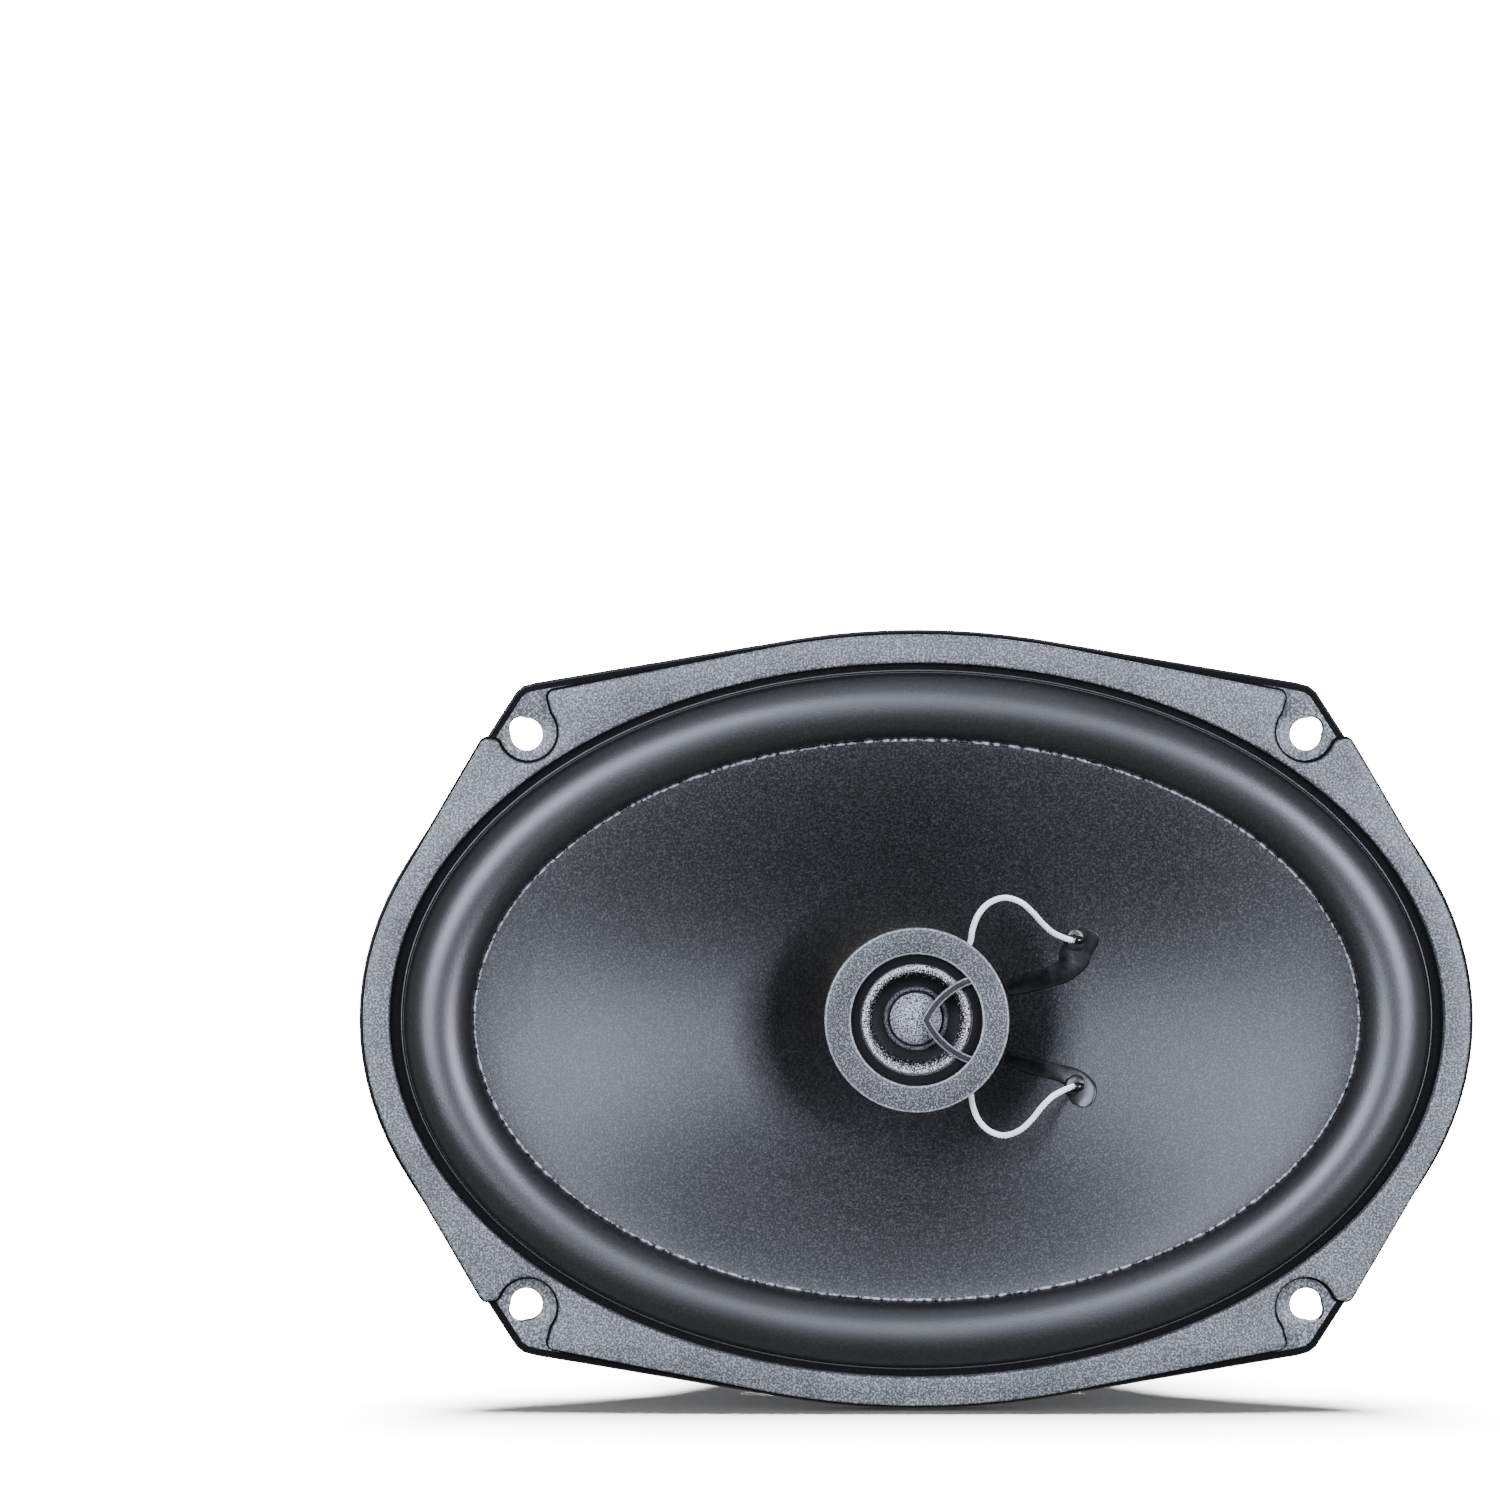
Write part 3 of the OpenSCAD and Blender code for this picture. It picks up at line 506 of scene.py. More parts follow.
def dome_and_roll_skin():
    """Dusted film: pale dome and step, a black groove that is painted shade, a black dished roll, and a
    light ring on the roll's rim, thinning inwards, that is a painted highlight.
    """
    material, tree, shader = start_material("dome_film")
    place = node(tree, "ShaderNodeTexCoord").outputs["Object"]
    flat = combined(tree, "MULTIPLY", place, (1, 0, 1)).outputs["Vector"]
    radius = combined(tree, "LENGTH", flat, (0, 0, 0)).outputs["Value"]
    fine = grain(tree, 0.3, 4.0)
    reach = 16.0
    share = level(tree, radius, 0, 1, (0, reach * MM))
    uneven = combined(tree, "ADD", share, level(tree, fine, -0.07, 0.07), "ShaderNodeMath")
    # The black band round the dome, from 5.55 to 5.9 mm, is painted shade in its groove.
    body = steps_of_colour(tree, share, [
        (r / reach, grey(tone)) for r, tone in ((5.4, 0.2), (5.55, 0.003), (5.9, 0.003), (6.0, 0.05),
                                                (6.75, 0.05), (6.9, 0.001))
    ])
    # A light ring over the roll's rounded rim, fading inwards: painted highlight.
    rim = steps_of_colour(tree, uneven.outputs["Value"], [
        (r / reach, (tone,) * 3) for r, tone in ((9.8, 0.0), (10.8, 0.16), (11.35, 0.42), (11.75, 0.42),
                                                 (11.9, 0.01))
    ])
    speckle = ramp(tree, fine, (0.1,) * 3, (2.6,) * 3, (0.42, 0.66))
    toned = combined(tree, "MULTIPLY", combined(tree, "ADD", body, rim).outputs["Vector"], speckle)
    tree.links.new(toned.outputs["Vector"], shader.inputs["Base Color"])
    shader.inputs["Roughness"].default_value = 0.5
    shader.inputs["Specular IOR Level"].default_value = 0.1
    added_bump(tree, shader, [(fine, 0.04)])
    return material


def cloth_material():
    """Woven cotton soaked in resin, for the spider."""
    material, tree, shader = start_material("spider_cloth")
    place = node(tree, "ShaderNodeTexCoord").outputs["Object"]
    threads = []
    for direction in ("X", "Z"):
        wave = node(tree, "ShaderNodeTexWave", Vector=place, Scale=1 / (3.2 * MM), Distortion=0.6)
        wave.bands_direction = direction
        threads.append(wave.outputs["Fac"])
    weave = combined(tree, "MAXIMUM", *threads, "ShaderNodeMath")
    colour = ramp(tree, weave.outputs["Value"], (0.2, 0.11, 0.035), (0.5, 0.33, 0.13), (0.3, 0.9))
    tree.links.new(colour, shader.inputs["Base Color"])
    shader.inputs["Roughness"].default_value = 0.8
    added_bump(tree, shader, [(weave.outputs["Value"], 0.12)])
    return material


def bead_material():
    """Glue that is silvery in some places and dark in others; the silvery spots are lightened to stand in
    for glints, so they are part glue colour, part painted highlight.
    """
    material, tree, shader = start_material("edge_glue")
    spots = grain(tree, 1.1, 4.0)
    # Silvery spots, lightened as a painted highlight for glints, on dark glue.
    colour = ramp(tree, spots, grey(0.008), grey(0.32), (0.42, 0.62))
    tree.links.new(colour, shader.inputs["Base Color"])
    tree.links.new(level(tree, spots, 0.14, 0.3), shader.inputs["Roughness"])
    added_bump(tree, shader, [(grain(tree, 0.5), 0.15)])
    return material


spider_cloth = cloth_material()
edge_glue = bead_material()


# ---------------------------------------------------------------- frame

RUBBER = 0.8
RIM = span("cone")[1][:2]
RIM_FRONT = 4.4
THROAT_R = 31.0
THROAT_FRONT = -20.0
NECK_R = 15.6
NECK_BACK = span("cone")[0][2]
FLARE = 1.25
CONE_WALL = 0.9
BOND_U = 0.95
EDGE_BACK = span("surround")[0][2]
EDGE_FRONT = EDGE_BACK + RUBBER
ROLL_IN = RIM + 0.3
ROLL_OUT = ROLL_IN + [14.8, 14.1]
ROLL_HEIGHT = 6.6

FLANGE_FRONT = span("trim_ring")[0][2]
RING_FRONT = span("trim_ring")[1][2]
SHEET = 1.2
FLANGE_BACK = FLANGE_FRONT - SHEET
LIP_RIM = [(0.08, 0.08), (0.25, 0.0), (SHEET - 0.25, 0.0), (SHEET - 0.08, 0.08), (SHEET, 0.25),
           (SHEET, FLANGE_BACK)]
# Width of the band of painted shade along the flange's front edge.
LIP_SHADE_BAND = 1.7


def flange_shape():
    """The front flange and its turned-back lip, from the CAD flange's own outlines."""
    loops = outlines("basket", FLANGE_FRONT)
    rim = edge_rim(FLANGE_BACK, FLANGE_FRONT, 0.25)
    bend = edge_rim(FLANGE_BACK, FLANGE_FRONT, 0.7, 5)[:6]
    return plate(loops, [[(LIP_SHADE_BAND, FLANGE_FRONT)] + bend + LIP_RIM] + [rim] * (len(loops) - 1))


def gap_to(loop, spots):
    """How far each spot lies from a closed outline."""
    ahead = np.roll(loop, -1, axis=0) - loop
    away = spots[:, None, :] - loop[None, :, :]
    share = np.clip((away * ahead).sum(axis=2) / (ahead ** 2).sum(axis=1), 0, 1)
    return np.linalg.norm(away - share[:, :, None] * ahead, axis=2).min(axis=1)


# The bowl's outer surface, from the flange to the floor, as (half length, half height, z).
BOWL = [(108.6, 73.6, 2.4), (108, 73, -8), (105, 70.5, -12), (60.5, 58.5, -36), (56, 56, -41.2),
        (44.6, 44.6, -41.2), (44.6, 44.6, -52), (20, 20, -52)]
CUP_R = 44.6
LEGS = 6
SECTOR = WHOLE_TURN / LEGS
SECTOR_STEPS = 36
WINDOW_STEPS = 18
WINDOW_RINGS = 8
WINDOW_WIDTH = 0.75
WINDOW_HEIGHT = 0.9
WINDOW_SQUARENESS = 6
WINDOW_MARGIN = 2.2
BOWL_CORNER = 3.0
BOWL_STEP = 3.0
BEAD_DEPTH = 1.3
BEAD_WIDTH = 0.11
BEAD_LEAN = (1.2, 1.56)


def bowl_shape():
    """The pressed bowl: closed rings of sheet above and below six windows with rounded corners."""
    line = rounded_line(BOWL, BOWL_CORNER, 5)
    top = max(i for i in range(len(line)) if line[i][2] > BOWL[2][2] - WINDOW_MARGIN)
    bottom = min(i for i in range(len(line)) if line[i][2] < BOWL[3][2] + WINDOW_MARGIN)
    above = dense(line[:top + 1], BOWL_STEP)
    below = dense(line[bottom:], BOWL_STEP)
    steps = LEGS * SECTOR_STEPS
    parts = [(ring_points(part, steps), grid_faces(len(part), steps)) for part in (above, below)]
    high, low = line[top], line[bottom]
    for leg in range(LEGS):
        middle = (leg + 0.5) * SECTOR
        across = np.linspace(-1, 1, SECTOR_STEPS + 1)
        down = np.linspace(-1, 1, WINDOW_STEPS + 1)
        border = ([(p, -1) for p in across[:-1]] + [(1, q) for q in down[:-1]]
                  + [(p, 1) for p in across[:0:-1]] + [(-1, q) for q in down[:0:-1]])
        border = np.array(border, float)
        size = (np.abs(border) ** WINDOW_SQUARENESS).sum(axis=1) ** (1 / WINDOW_SQUARENESS)
        hole = border / size[:, None] * [WINDOW_WIDTH, WINDOW_HEIGHT]
        points = []
        for k in range(WINDOW_RINGS + 1):
            at = border + (hole - border) * k / WINDOW_RINGS
            angle = middle + at[:, 0] * SECTOR / 2
            share = (at[:, 1] + 1) / 2
            a, b, z = (high[i] + (low[i] - high[i]) * share for i in range(3))
            bead = BEAD_DEPTH * np.exp(-((1 - np.abs(at[:, 0])) / BEAD_WIDTH) ** 2)
            bead *= smooth_step(4 * (1 - np.abs(at[:, 1])))
            lean = np.full(len(at), -BEAD_LEAN[0])
            outward = np.column_stack([np.cos(angle), np.sin(angle), lean]) / BEAD_LEAN[1]
            surface = np.column_stack([a * np.cos(angle), b * np.sin(angle), z])
            points.append(surface + outward * bead[:, None])
        n = len(border)
        parts.append((np.concatenate(points), grid_faces(WINDOW_RINGS + 1, n)))
    return joined(parts)


def thickened(name, shape, thickness, merge=0.02):
    """A shell of sheet metal from one surface, grown to its inner side."""
    points, faces = shape
    mesh = new_mesh(name, row(points), faces)
    bm = bmesh.new()
    bm.from_mesh(mesh)
    bmesh.ops.remove_doubles(bm, verts=bm.verts, dist=merge * MM)
    bmesh.ops.recalc_face_normals(bm, faces=bm.faces)
    centres = [(face, face.calc_center_median()) for face in bm.faces]
    if sum(face.normal.dot(Vector((at.x, 0, at.z))) for face, at in centres) < 0:
        bmesh.ops.reverse_faces(bm, faces=bm.faces[:])
    bmesh.ops.solidify(bm, geom=bm.faces[:], thickness=thickness * MM)
    points = np.array([v.co for v in bm.verts])
    faces = [tuple(v.index for v in f.verts) for f in bm.faces]
    bm.free()
    bpy.data.meshes.remove(mesh)
    return np.column_stack([points[:, 0], points[:, 2], -points[:, 1]]) / MM, faces


def basket():
    """The pressed frame. The flange's front is painted grey, except for a dull black band along its edge,
    which is painted shade where the edge turns back.
    """
    left, right, half, back, front = 46.0, 67.0, 4.5, -41.2, -40.0
    corners = np.array([(left, -half), (right, -half), (right, half), (left, half)])
    tab = np.array(rounded_line(corners, 2.0, 4, closed=True))
    tab_shape = plate([tab], [edge_rim(back, front, 0.2)])
    shape = joined([flange_shape(), thickened("bowl", bowl_shape(), 1.0), tab_shape])
    obj = make("basket_pressing", *shape, [black_paint, flange_paint, painted_shade_black], "frame",
               "frame_steel", ["basket"], 32)
    face_y = -(FLANGE_FRONT - 0.05) * MM
    facing = [face for face in obj.data.polygons if face.normal.y < -0.9 and face.center.y < face_y]
    spots = np.array([(face.center.x, face.center.z) for face in facing]) / MM
    # Front faces within the band along the outline get painted shade; the other front faces get the grey
    # paint.
    for face, gap in zip(facing, gap_to(outlines("basket", FLANGE_FRONT)[0], spots)):
        face.material_index = 1 if gap > LIP_SHADE_BAND else 2


def trim_ring():
    """The moulded ring. Its foot stands out from under it; the foot and the walls below its top are black
    as painted shade, which draws the seam on the flange and darkens the groove inside the ring.
    """
    seam, shaded_foot_top = 0.6, FLANGE_FRONT + 0.9
    loops = outlines("trim_ring", RING_FRONT)
    bevel = edge_rim(FLANGE_FRONT, RING_FRONT, 0.5, 4)[:5]
    foot = [(0.0, shaded_foot_top), (-0.6 * seam, FLANGE_FRONT + 0.7), (-seam, FLANGE_FRONT + 0.4),
            (-seam, FLANGE_FRONT)]
    wall = [(0.0, EDGE_FRONT + 0.3), (0.0, EDGE_FRONT)]
    obj = make("front_trim_ring", *plate(loops, [bevel + foot, bevel + wall]),
               [moulded, painted_shade_black], "frame", "ring_plastic", ["trim_ring"], 35)
    # Faces below the top of the foot get painted shade.
    for face in obj.data.polygons:
        if face.center.y > -shaded_foot_top * MM:
            face.material_index = 1


def gasket():
    shape = pressed("rear_gasket", 0, FLANGE_BACK, 0.3)
    make("foam_gasket", *shape, foam, "frame", "gasket_foam", ["rear_gasket"])


# ---------------------------------------------------------------- cone and surround

def flare_at(u):
    """The cone's front surface at u, from 0 at the throat to 1 at the rim."""
    half = THROAT_R + (RIM - THROAT_R) * u
    z = THROAT_FRONT + (RIM_FRONT - THROAT_FRONT) * (1 - (1 - u) ** FLARE)
    return np.array([half[0], half[1], z])


def cone_z(x, y):
    """The cone's front surface at a point."""
    r = math.hypot(x, y)
    if r < THROAT_R:
        return THROAT_FRONT - (THROAT_R - r)
    low, high = 0.0, 1.0
    for _ in range(24):
        u = (low + high) / 2
        a, b = flare_at(u)[:2]
        low, high = (u, high) if (x / a) ** 2 + (y / b) ** 2 > 1 else (low, u)
    return flare_at(low)[2]


def cone():
    """The oval cone with its round throat and neck, a shell of even thickness."""
    neck = THROAT_FRONT - (THROAT_R - NECK_R)
    throat = [np.array([r, r, neck + r - NECK_R]) for r in np.linspace(NECK_R, THROAT_R, 10)[:-1]]
    flare = [flare_at(u) for u in 1 - np.linspace(1, 0, 60) ** 1.3]
    bond = flare_at(BOND_U) - [0.2, 0.15, 0]
    foot = NECK_R + 0.8
    line = throat + flare
    line += [np.array([RIM[0], RIM[1], EDGE_FRONT]), np.array([bond[0], bond[1], EDGE_FRONT])]
    line += [p - [0, 0, CONE_WALL] for p in flare[::-1] if p[0] < bond[0]]
    line += [np.array([r, r, z]) for r, z in ((foot, neck), (foot, NECK_BACK), (NECK_R, NECK_BACK))]
    make("cone_skin", *lathe(line, OVAL_STEPS), cone_skin, "cone_assembly", "cone_plastic", ["cone"], 50)


def edge_bead():
    """The thin uneven bead of glue along the cone's rim."""
    radius, uneven, flatness, steps, sides = 0.32, 0.3, 0.8, 900, 8
    half, z = RIM + 0.1, RIM_FRONT - 0.1
    chance = np.random.default_rng(3)
    t = np.linspace(0, WHOLE_TURN, steps, endpoint=False)
    noise = sum(chance.normal() / (k ** 0.5) * np.sin(k * t + chance.uniform(0, PHASES))
                for k in range(9, 160, 3))
    noise = noise / np.abs(noise).max()
    rings = []
    for angle, n in zip(t, noise):
        r = radius * (1 + uneven * n)
        out = np.array([math.cos(angle), math.sin(angle), 0])
        centre = np.array([half[0] * out[0], half[1] * out[1], z]) + out * n * radius * uneven
        rings.append([centre + r * (math.cos(a) * out + math.sin(a) * np.array([0, 0, flatness]))
                      for a in np.linspace(0, WHOLE_TURN, sides, endpoint=False)])
    make("edge_glue_bead", np.array(rings).reshape(-1, 3), grid_faces(steps, sides, True), edge_glue,
         "cone_assembly", "edge_glue", ["cone_edge_glue"], 80)


def flex(piece):
    """Bakes a piece's placement into its mesh."""
    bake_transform(piece)


def surround():
    """The rubber half roll, glued under the cone's rim and under the trim ring."""
    steps, still_band, groove_shade_gap = 40, 1.0, 0.7
    bond = flare_at(BOND_U)
    edge_out = span("surround")[1][:2]
    front, back = [], []
    for k in range(steps + 1):
        angle = math.pi * k / steps
        for line, shrink, base in ((front, 0.0, EDGE_FRONT), (back, RUBBER, EDGE_BACK)):
            wall = shrink / (ROLL_OUT - ROLL_IN)
            share = 0.5 - (0.5 - wall) * math.cos(angle)
            half = ROLL_IN + (ROLL_OUT - ROLL_IN) * share
            line.append(np.array([half[0], half[1], base + ROLL_HEIGHT * math.sin(angle)]))
    ridge = [np.array([*(ROLL_OUT + out), EDGE_FRONT + up])
             for out, up in ((0.1, 0.0), (0.2, 0.25), (0.42, 0.36), (0.64, 0.25), (0.74, 0.0))]
    line = [np.array([bond[0], bond[1], EDGE_FRONT])] + front + ridge
    line += [np.array([*edge_out, EDGE_FRONT]), np.array([*edge_out, EDGE_BACK])]
    line += back[::-1] + [np.array([bond[0], bond[1], EDGE_BACK])]
    obj = make("rubber_surround", *lathe(line, OVAL_STEPS), [rubber, painted_shade_black], None,
               "surround_rubber", ["surround"], 60)
    # The flat rubber outside the roll gets painted shade for the deep groove under the trim ring.
    groove_shade_edge = ROLL_OUT + groove_shade_gap
    for face in obj.data.polygons:
        if math.hypot(face.center.x / groove_shade_edge[0], face.center.z / groove_shade_edge[1]) > MM:
            face.material_index = 1
    place = corners_of(obj)
    angle = np.arctan2(place[:, 2] / ROLL_OUT[1], place[:, 0] / ROLL_OUT[0])
    inner = np.hypot(ROLL_IN[0] * np.cos(angle), ROLL_IN[1] * np.sin(angle))
    still = ROLL_OUT - still_band
    outer = np.hypot(still[0] * np.cos(angle), still[1] * np.sin(angle))
    share = (outer - np.hypot(place[:, 0], place[:, 2])) / (outer - inner)
    flex(obj)


def spider():
    """The corrugated damper between the former and the basket's ledge."""
    foot, rim, middle = 15.55, span("spider")[1][0], -40.0
    waves, height, wall, collar = 7, 1.2, 0.5, NECK_BACK - 0.3
    start, end = foot + 2.4, CUP_R - 1.5
    steps = waves * 14
    wave = [np.array([start + (end - start) * i / steps,
                      middle + height * math.sin(WHOLE_TURN * waves * i / steps)])
            for i in range(steps + 1)]
    top = [(foot, middle), (foot, collar), (foot + wall, collar), (foot + wall, middle + wall)]
    line = top + [tuple(p + [0, wall]) for p in wave] + [(rim, middle + wall), (rim, middle)]
    line += [tuple(p) for p in wave[::-1]]
    obj = make("cloth_spider", *lathe([(r, r, z) for r, z in line], ROUND_STEPS), spider_cloth, None,
               "spider_cloth", ["spider"], 70)
    flex(obj)


# ---------------------------------------------------------------- motor

def kept(name, material):
    """Gives a CAD node that stays as it is its material."""
    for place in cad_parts[name].material_slots:
        place.material = material


def collar(name, inner, bevel):
    """A turned ring with the length and the outer radius of a CAD node."""
    low, high = span(name)
    section = [(inner, low[2]), (high[0], low[2]), (high[0], high[2]), (inner, high[2])]
    return turned(section, bevel)


POLE_FRONT = -51.0
POLE_R = 14.9
RIVET_CIRCLE = 34
RIVET_HEIGHT = 1.4
YOKE_BACK = span("back_plate")[0][2]


def motor():
    """The magnet between its two steel plates, the coil in the gap, and the basket's rivets."""
    make("front_plate", *collar("top_plate", 16.5, 0.4), steel, "frame", "plated_steel", ["top_plate"])
    make("ferrite_ring", *collar("magnet", 23, 1.1), ferrite, "frame", "ferrite", ["magnet"])
    magnet_back = span("magnet")[0][2]
    plate_r = span("back_plate")[1][0]
    forging = [
        (6, YOKE_BACK), (plate_r, YOKE_BACK), (plate_r, magnet_back), (POLE_R + 2.5, magnet_back),
        (POLE_R, magnet_back + 1.5), (POLE_R, POLE_FRONT), (2.4, POLE_FRONT), (2.4, YOKE_BACK + 3),
        (6, YOKE_BACK + 3),
    ]
    make("back_plate_and_pole", *turned(forging, 0.9), steel, "frame", "plated_steel", ["back_plate"])
    head = [(0, -4.8), (1.95, -4.8), (1.95, 0), (3.4, 0), (3.2, 0.5), (2.6, 0.95), (1.5, 1.3),
            (0, RIVET_HEIGHT)]
    place = span("plate_rivets")[1][2] - RIVET_HEIGHT
    angles = [math.pi / 4 + k * math.pi / 2 for k in range(4)]
    rivets = [moved(turned(head, 0.15, 48), (RIVET_CIRCLE * math.cos(a), RIVET_CIRCLE * math.sin(a), place))
              for a in angles]
    make("floor_rivets", *joined(rivets), rivet_steel, "frame", "plated_steel", ["plate_rivets"])
    make("coil_former", *collar("voice_coil_former", 15.25, 0.05), former_film, "cone_assembly",
         "former", ["voice_coil_former"])
    make("coil_winding", *collar("voice_coil_winding", 15.55, 0.15), copper, "cone_assembly",
         "copper", ["voice_coil_winding"])


# ---------------------------------------------------------------- tweeter

BEZEL_FRONT = span("tweeter_bezel")[1][2]
BEZEL_R = span("tweeter_bezel")[1][0]
OPENING_R = 13.9
GUARD_BEND = 16.2
GUARD_CENTRE = (16.6, -6.9)
GUARD_END = 107
CLAMP_BACK, CLAMP_FRONT = span("tweeter_clamp_ring")[0][2], span("tweeter_clamp_ring")[1][2]
DOME_R = 5.5
DOME_TOP = 3.5
GROOVE_R = 6.95
ROLL_R = 11.75


def guard_bars():
    """Two arcs of one rounded section, mitred where they meet in front of the dome."""
    half, front, chamfer, steps = 0.85, BEZEL_FRONT - 0.1, 0.32, 48
    back = front - 1.3
    corners = [(-half, back), (half, back), (half, front - chamfer), (half - chamfer, front),
               (chamfer - half, front), (-half, front - chamfer)]
    section = rounded_line(corners, 0.08, 2, closed=True)
    bars = []
    for side in (1, -1):
        rings = []
        for k in range(steps + 1):
            ring = []
            for out, z in section:
                r = GUARD_BEND + out
                start = 180 - math.degrees(math.asin(-GUARD_CENTRE[1] / r))
                a = math.radians(start + (GUARD_END - start) * k / steps)
                ring.append((GUARD_CENTRE[0] + r * math.cos(a), GUARD_CENTRE[1] + r * math.sin(a), z))
            rings.append(ring)
        n = len(section)
        faces = grid_faces(len(rings), n) + [tuple(steps * n + i for i in range(n))]
        bars.append((np.array(rings).reshape(-1, 3) * [1, side, 1], faces))
    return joined(bars)


def tweeter_front():
    """The bezel with its guard, and the dark ring behind its opening."""
    skirt = 17.4
    section = [(OPENING_R, CLAMP_FRONT), (skirt, CLAMP_FRONT), (skirt, 1), (BEZEL_R, 1),
               (BEZEL_R, BEZEL_FRONT), (OPENING_R, BEZEL_FRONT)]
    obj = make("bezel", *turned(section, 0.4), [bezel_plastic, bezel_rim_highlight, painted_shade_black], "frame",
               "ring_plastic", ["tweeter_bezel"], 40)
    middle = 0.5 * (OPENING_R + BEZEL_R) * MM
    for face in obj.data.polygons:
        height = -face.center.y / MM
        # Faces of the opening's inner wall, below the front, get painted shade.
        if height < BEZEL_FRONT - 0.6 and math.hypot(face.center.x, face.center.z) < middle:
            face.material_index = 2
        # Faces of the rounded front rim get the lighter copy: painted highlight.
        elif BEZEL_FRONT - 0.3 < height < BEZEL_FRONT - 0.01:
            face.material_index = 1
    obj = make("guard", *guard_bars(), [guard_front_shaded, guard_chamfer_highlight, painted_shade_black], "frame", "ring_plastic",
               ["tweeter_bezel"], 30)
    # Front faces get the darker copy as painted shade, chamfers the lighter copy as painted highlight, and
    # the sides painted shade.
    for face in obj.data.polygons:
        tilt = -face.normal.y
        face.material_index = 0 if tilt > 0.95 else 1 if tilt > 0.3 else 2
    make("clamp_ring", *collar("tweeter_clamp_ring", 11.9, 0.12), clamp_plastic, "frame",
         "black_plastic", ["tweeter_clamp_ring"])


def dome_profile():
    """The film's front surface: dome, step, groove, dished roll, and rim, as (radius, z)."""
    rise = 2.9
    sphere = (DOME_R ** 2 + rise ** 2) / (2 * rise)
    edge = math.asin(DOME_R / sphere)
    line = [(sphere * math.sin(a), DOME_TOP - sphere * (1 - math.cos(a)))
            for a in np.linspace(0, edge, 22)]
    line += [(5.62, 0.22), (5.85, 0.2), (5.98, 0.75), (6.2, 0.95), (6.5, 0.95), (6.72, 0.75),
             (6.85, 0.15)]
    line += [(GROOVE_R + 3.35 * math.sin(a), 0.15 + 1.75 * (1 - math.cos(a)))
             for a in np.linspace(0, 1.45, 14)[1:]]
    line += [(10.55 + 1.2 * math.sin(a), 2.15 + 0.55 * math.cos(a)) for a in np.linspace(-0.5, 1.5, 12)]
    return line + [(ROLL_R + 0.1, CLAMP_BACK), (15.5, CLAMP_BACK)]


def tweeter_film():
    """The tweeter's diaphragm."""
    wall, still = 0.22, 11.4
    front = dome_profile()
    back = [(r, z - wall) for r, z in front[::-1]]
    obj = make("dome_and_roll", *turned(front + back, 0.02), dome_and_roll_skin(), None, "dome_film",
               ["tweeter_diaphragm"], 60)
    flex(obj)


def tweeter_body():
    """The stem on the pole, and the motor inside the housing."""
    back = span("tweeter_housing")[0][2]
    stem = [
        (2.05, POLE_FRONT), (12.5, POLE_FRONT), (12.5, POLE_FRONT + 2), (7.5, POLE_FRONT + 7),
        (5.8, POLE_FRONT + 14), (5.8, back - 5), (9, back - 1.5), (9, back), (2.9, back), (2.9, back + 1.5),
        (0, back + 1.5),
    ]
    stem = [(0, POLE_FRONT + 16), (2.05, POLE_FRONT + 16)] + stem
    make("stem", *turned(stem, 0.7, 96), black_plastic, "frame", "black_plastic", ["tweeter_post"])
    for name, material in (
        ("tweeter_housing", black_plastic), ("tweeter_pole_plate", steel), ("tweeter_yoke", steel),
        ("tweeter_magnet", nickel), ("tweeter_felt", felt_grey), ("crossover_capacitor", sleeve_blue),
        ("tweeter_voice_coil", copper), ("post_screw", rivet_steel), ("post_washer", steel),
    ):
        kept(name, material)


# ---------------------------------------------------------------- leads, glue and terminals

EYELET = np.array([35.6, 16.0])
STRANDS = 6
ROUTE_STEPS = 14
TWEETER_ROUTE = [
    (9.2, 12.2, -4), (10.5, 13.8, -4), (11.8, 16, -3.8), (12.3, 18.8, -3.4), (13.6, 22, -3.4),
    (16, 24.4, -4), (19.3, 25.4, -5), (22.7, 24.4, -6.4), (25.4, 22.2, -8), (27.7, 19.7, -9.8),
    (30, 17.7, -11.2), (32.2, 16.6, -12.3), (34.2, 15.9, -13.5), (35.3, 15.8, -15.2),
]
TERMINAL_ROUTE = [
    (36.5, 16.5, -17.6), (37.2, 16.8, -19.8), (38.6, 17, -22.2), (40.8, 17, -24.8), (44, 16.6, -27.4),
    (48.6, 16, -29.9), (53.4, 15.2, -31.8), (58.2, 14.4, -33.2), (62.2, 13.4, -34.8),
    (64.6, 12.2, -36.8), (65, 11, -38.8),
]
# The middle line of each glue strip as (x, distance from the long axis, half width).
GLUE = {
    "upper": [(38.6, 18.3, 0.4), (38.2, 17.4, 2.4), (36.7, 14.9, 3.2), (35.2, 11.8, 3.2),
              (33.6, 9.6, 2.6), (30.9, 7.7, 2.3), (26.3, 5.9, 2.0), (21.5, 4.4, 1.7)],
    "lower": [(36.6, 20.3, 0.4), (36.6, 19.4, 2.2), (36.5, 16.9, 3.1), (35.4, 14.6, 2.6),
              (32.4, 13.4, 2.0), (27.1, 12.1, 1.8), (21.5, 10.8, 1.3)],
}


def lead(name, route, radius, lay, skin, stands_for, side):
    """A twisted lead."""
    line = curve_through(np.array(route) * [1, side, 1], ROUTE_STEPS)
    obj = make(name, *rope(line, radius, STRANDS, lay), skin, None, "lead_braid", [stands_for], 70)
    flex(obj)


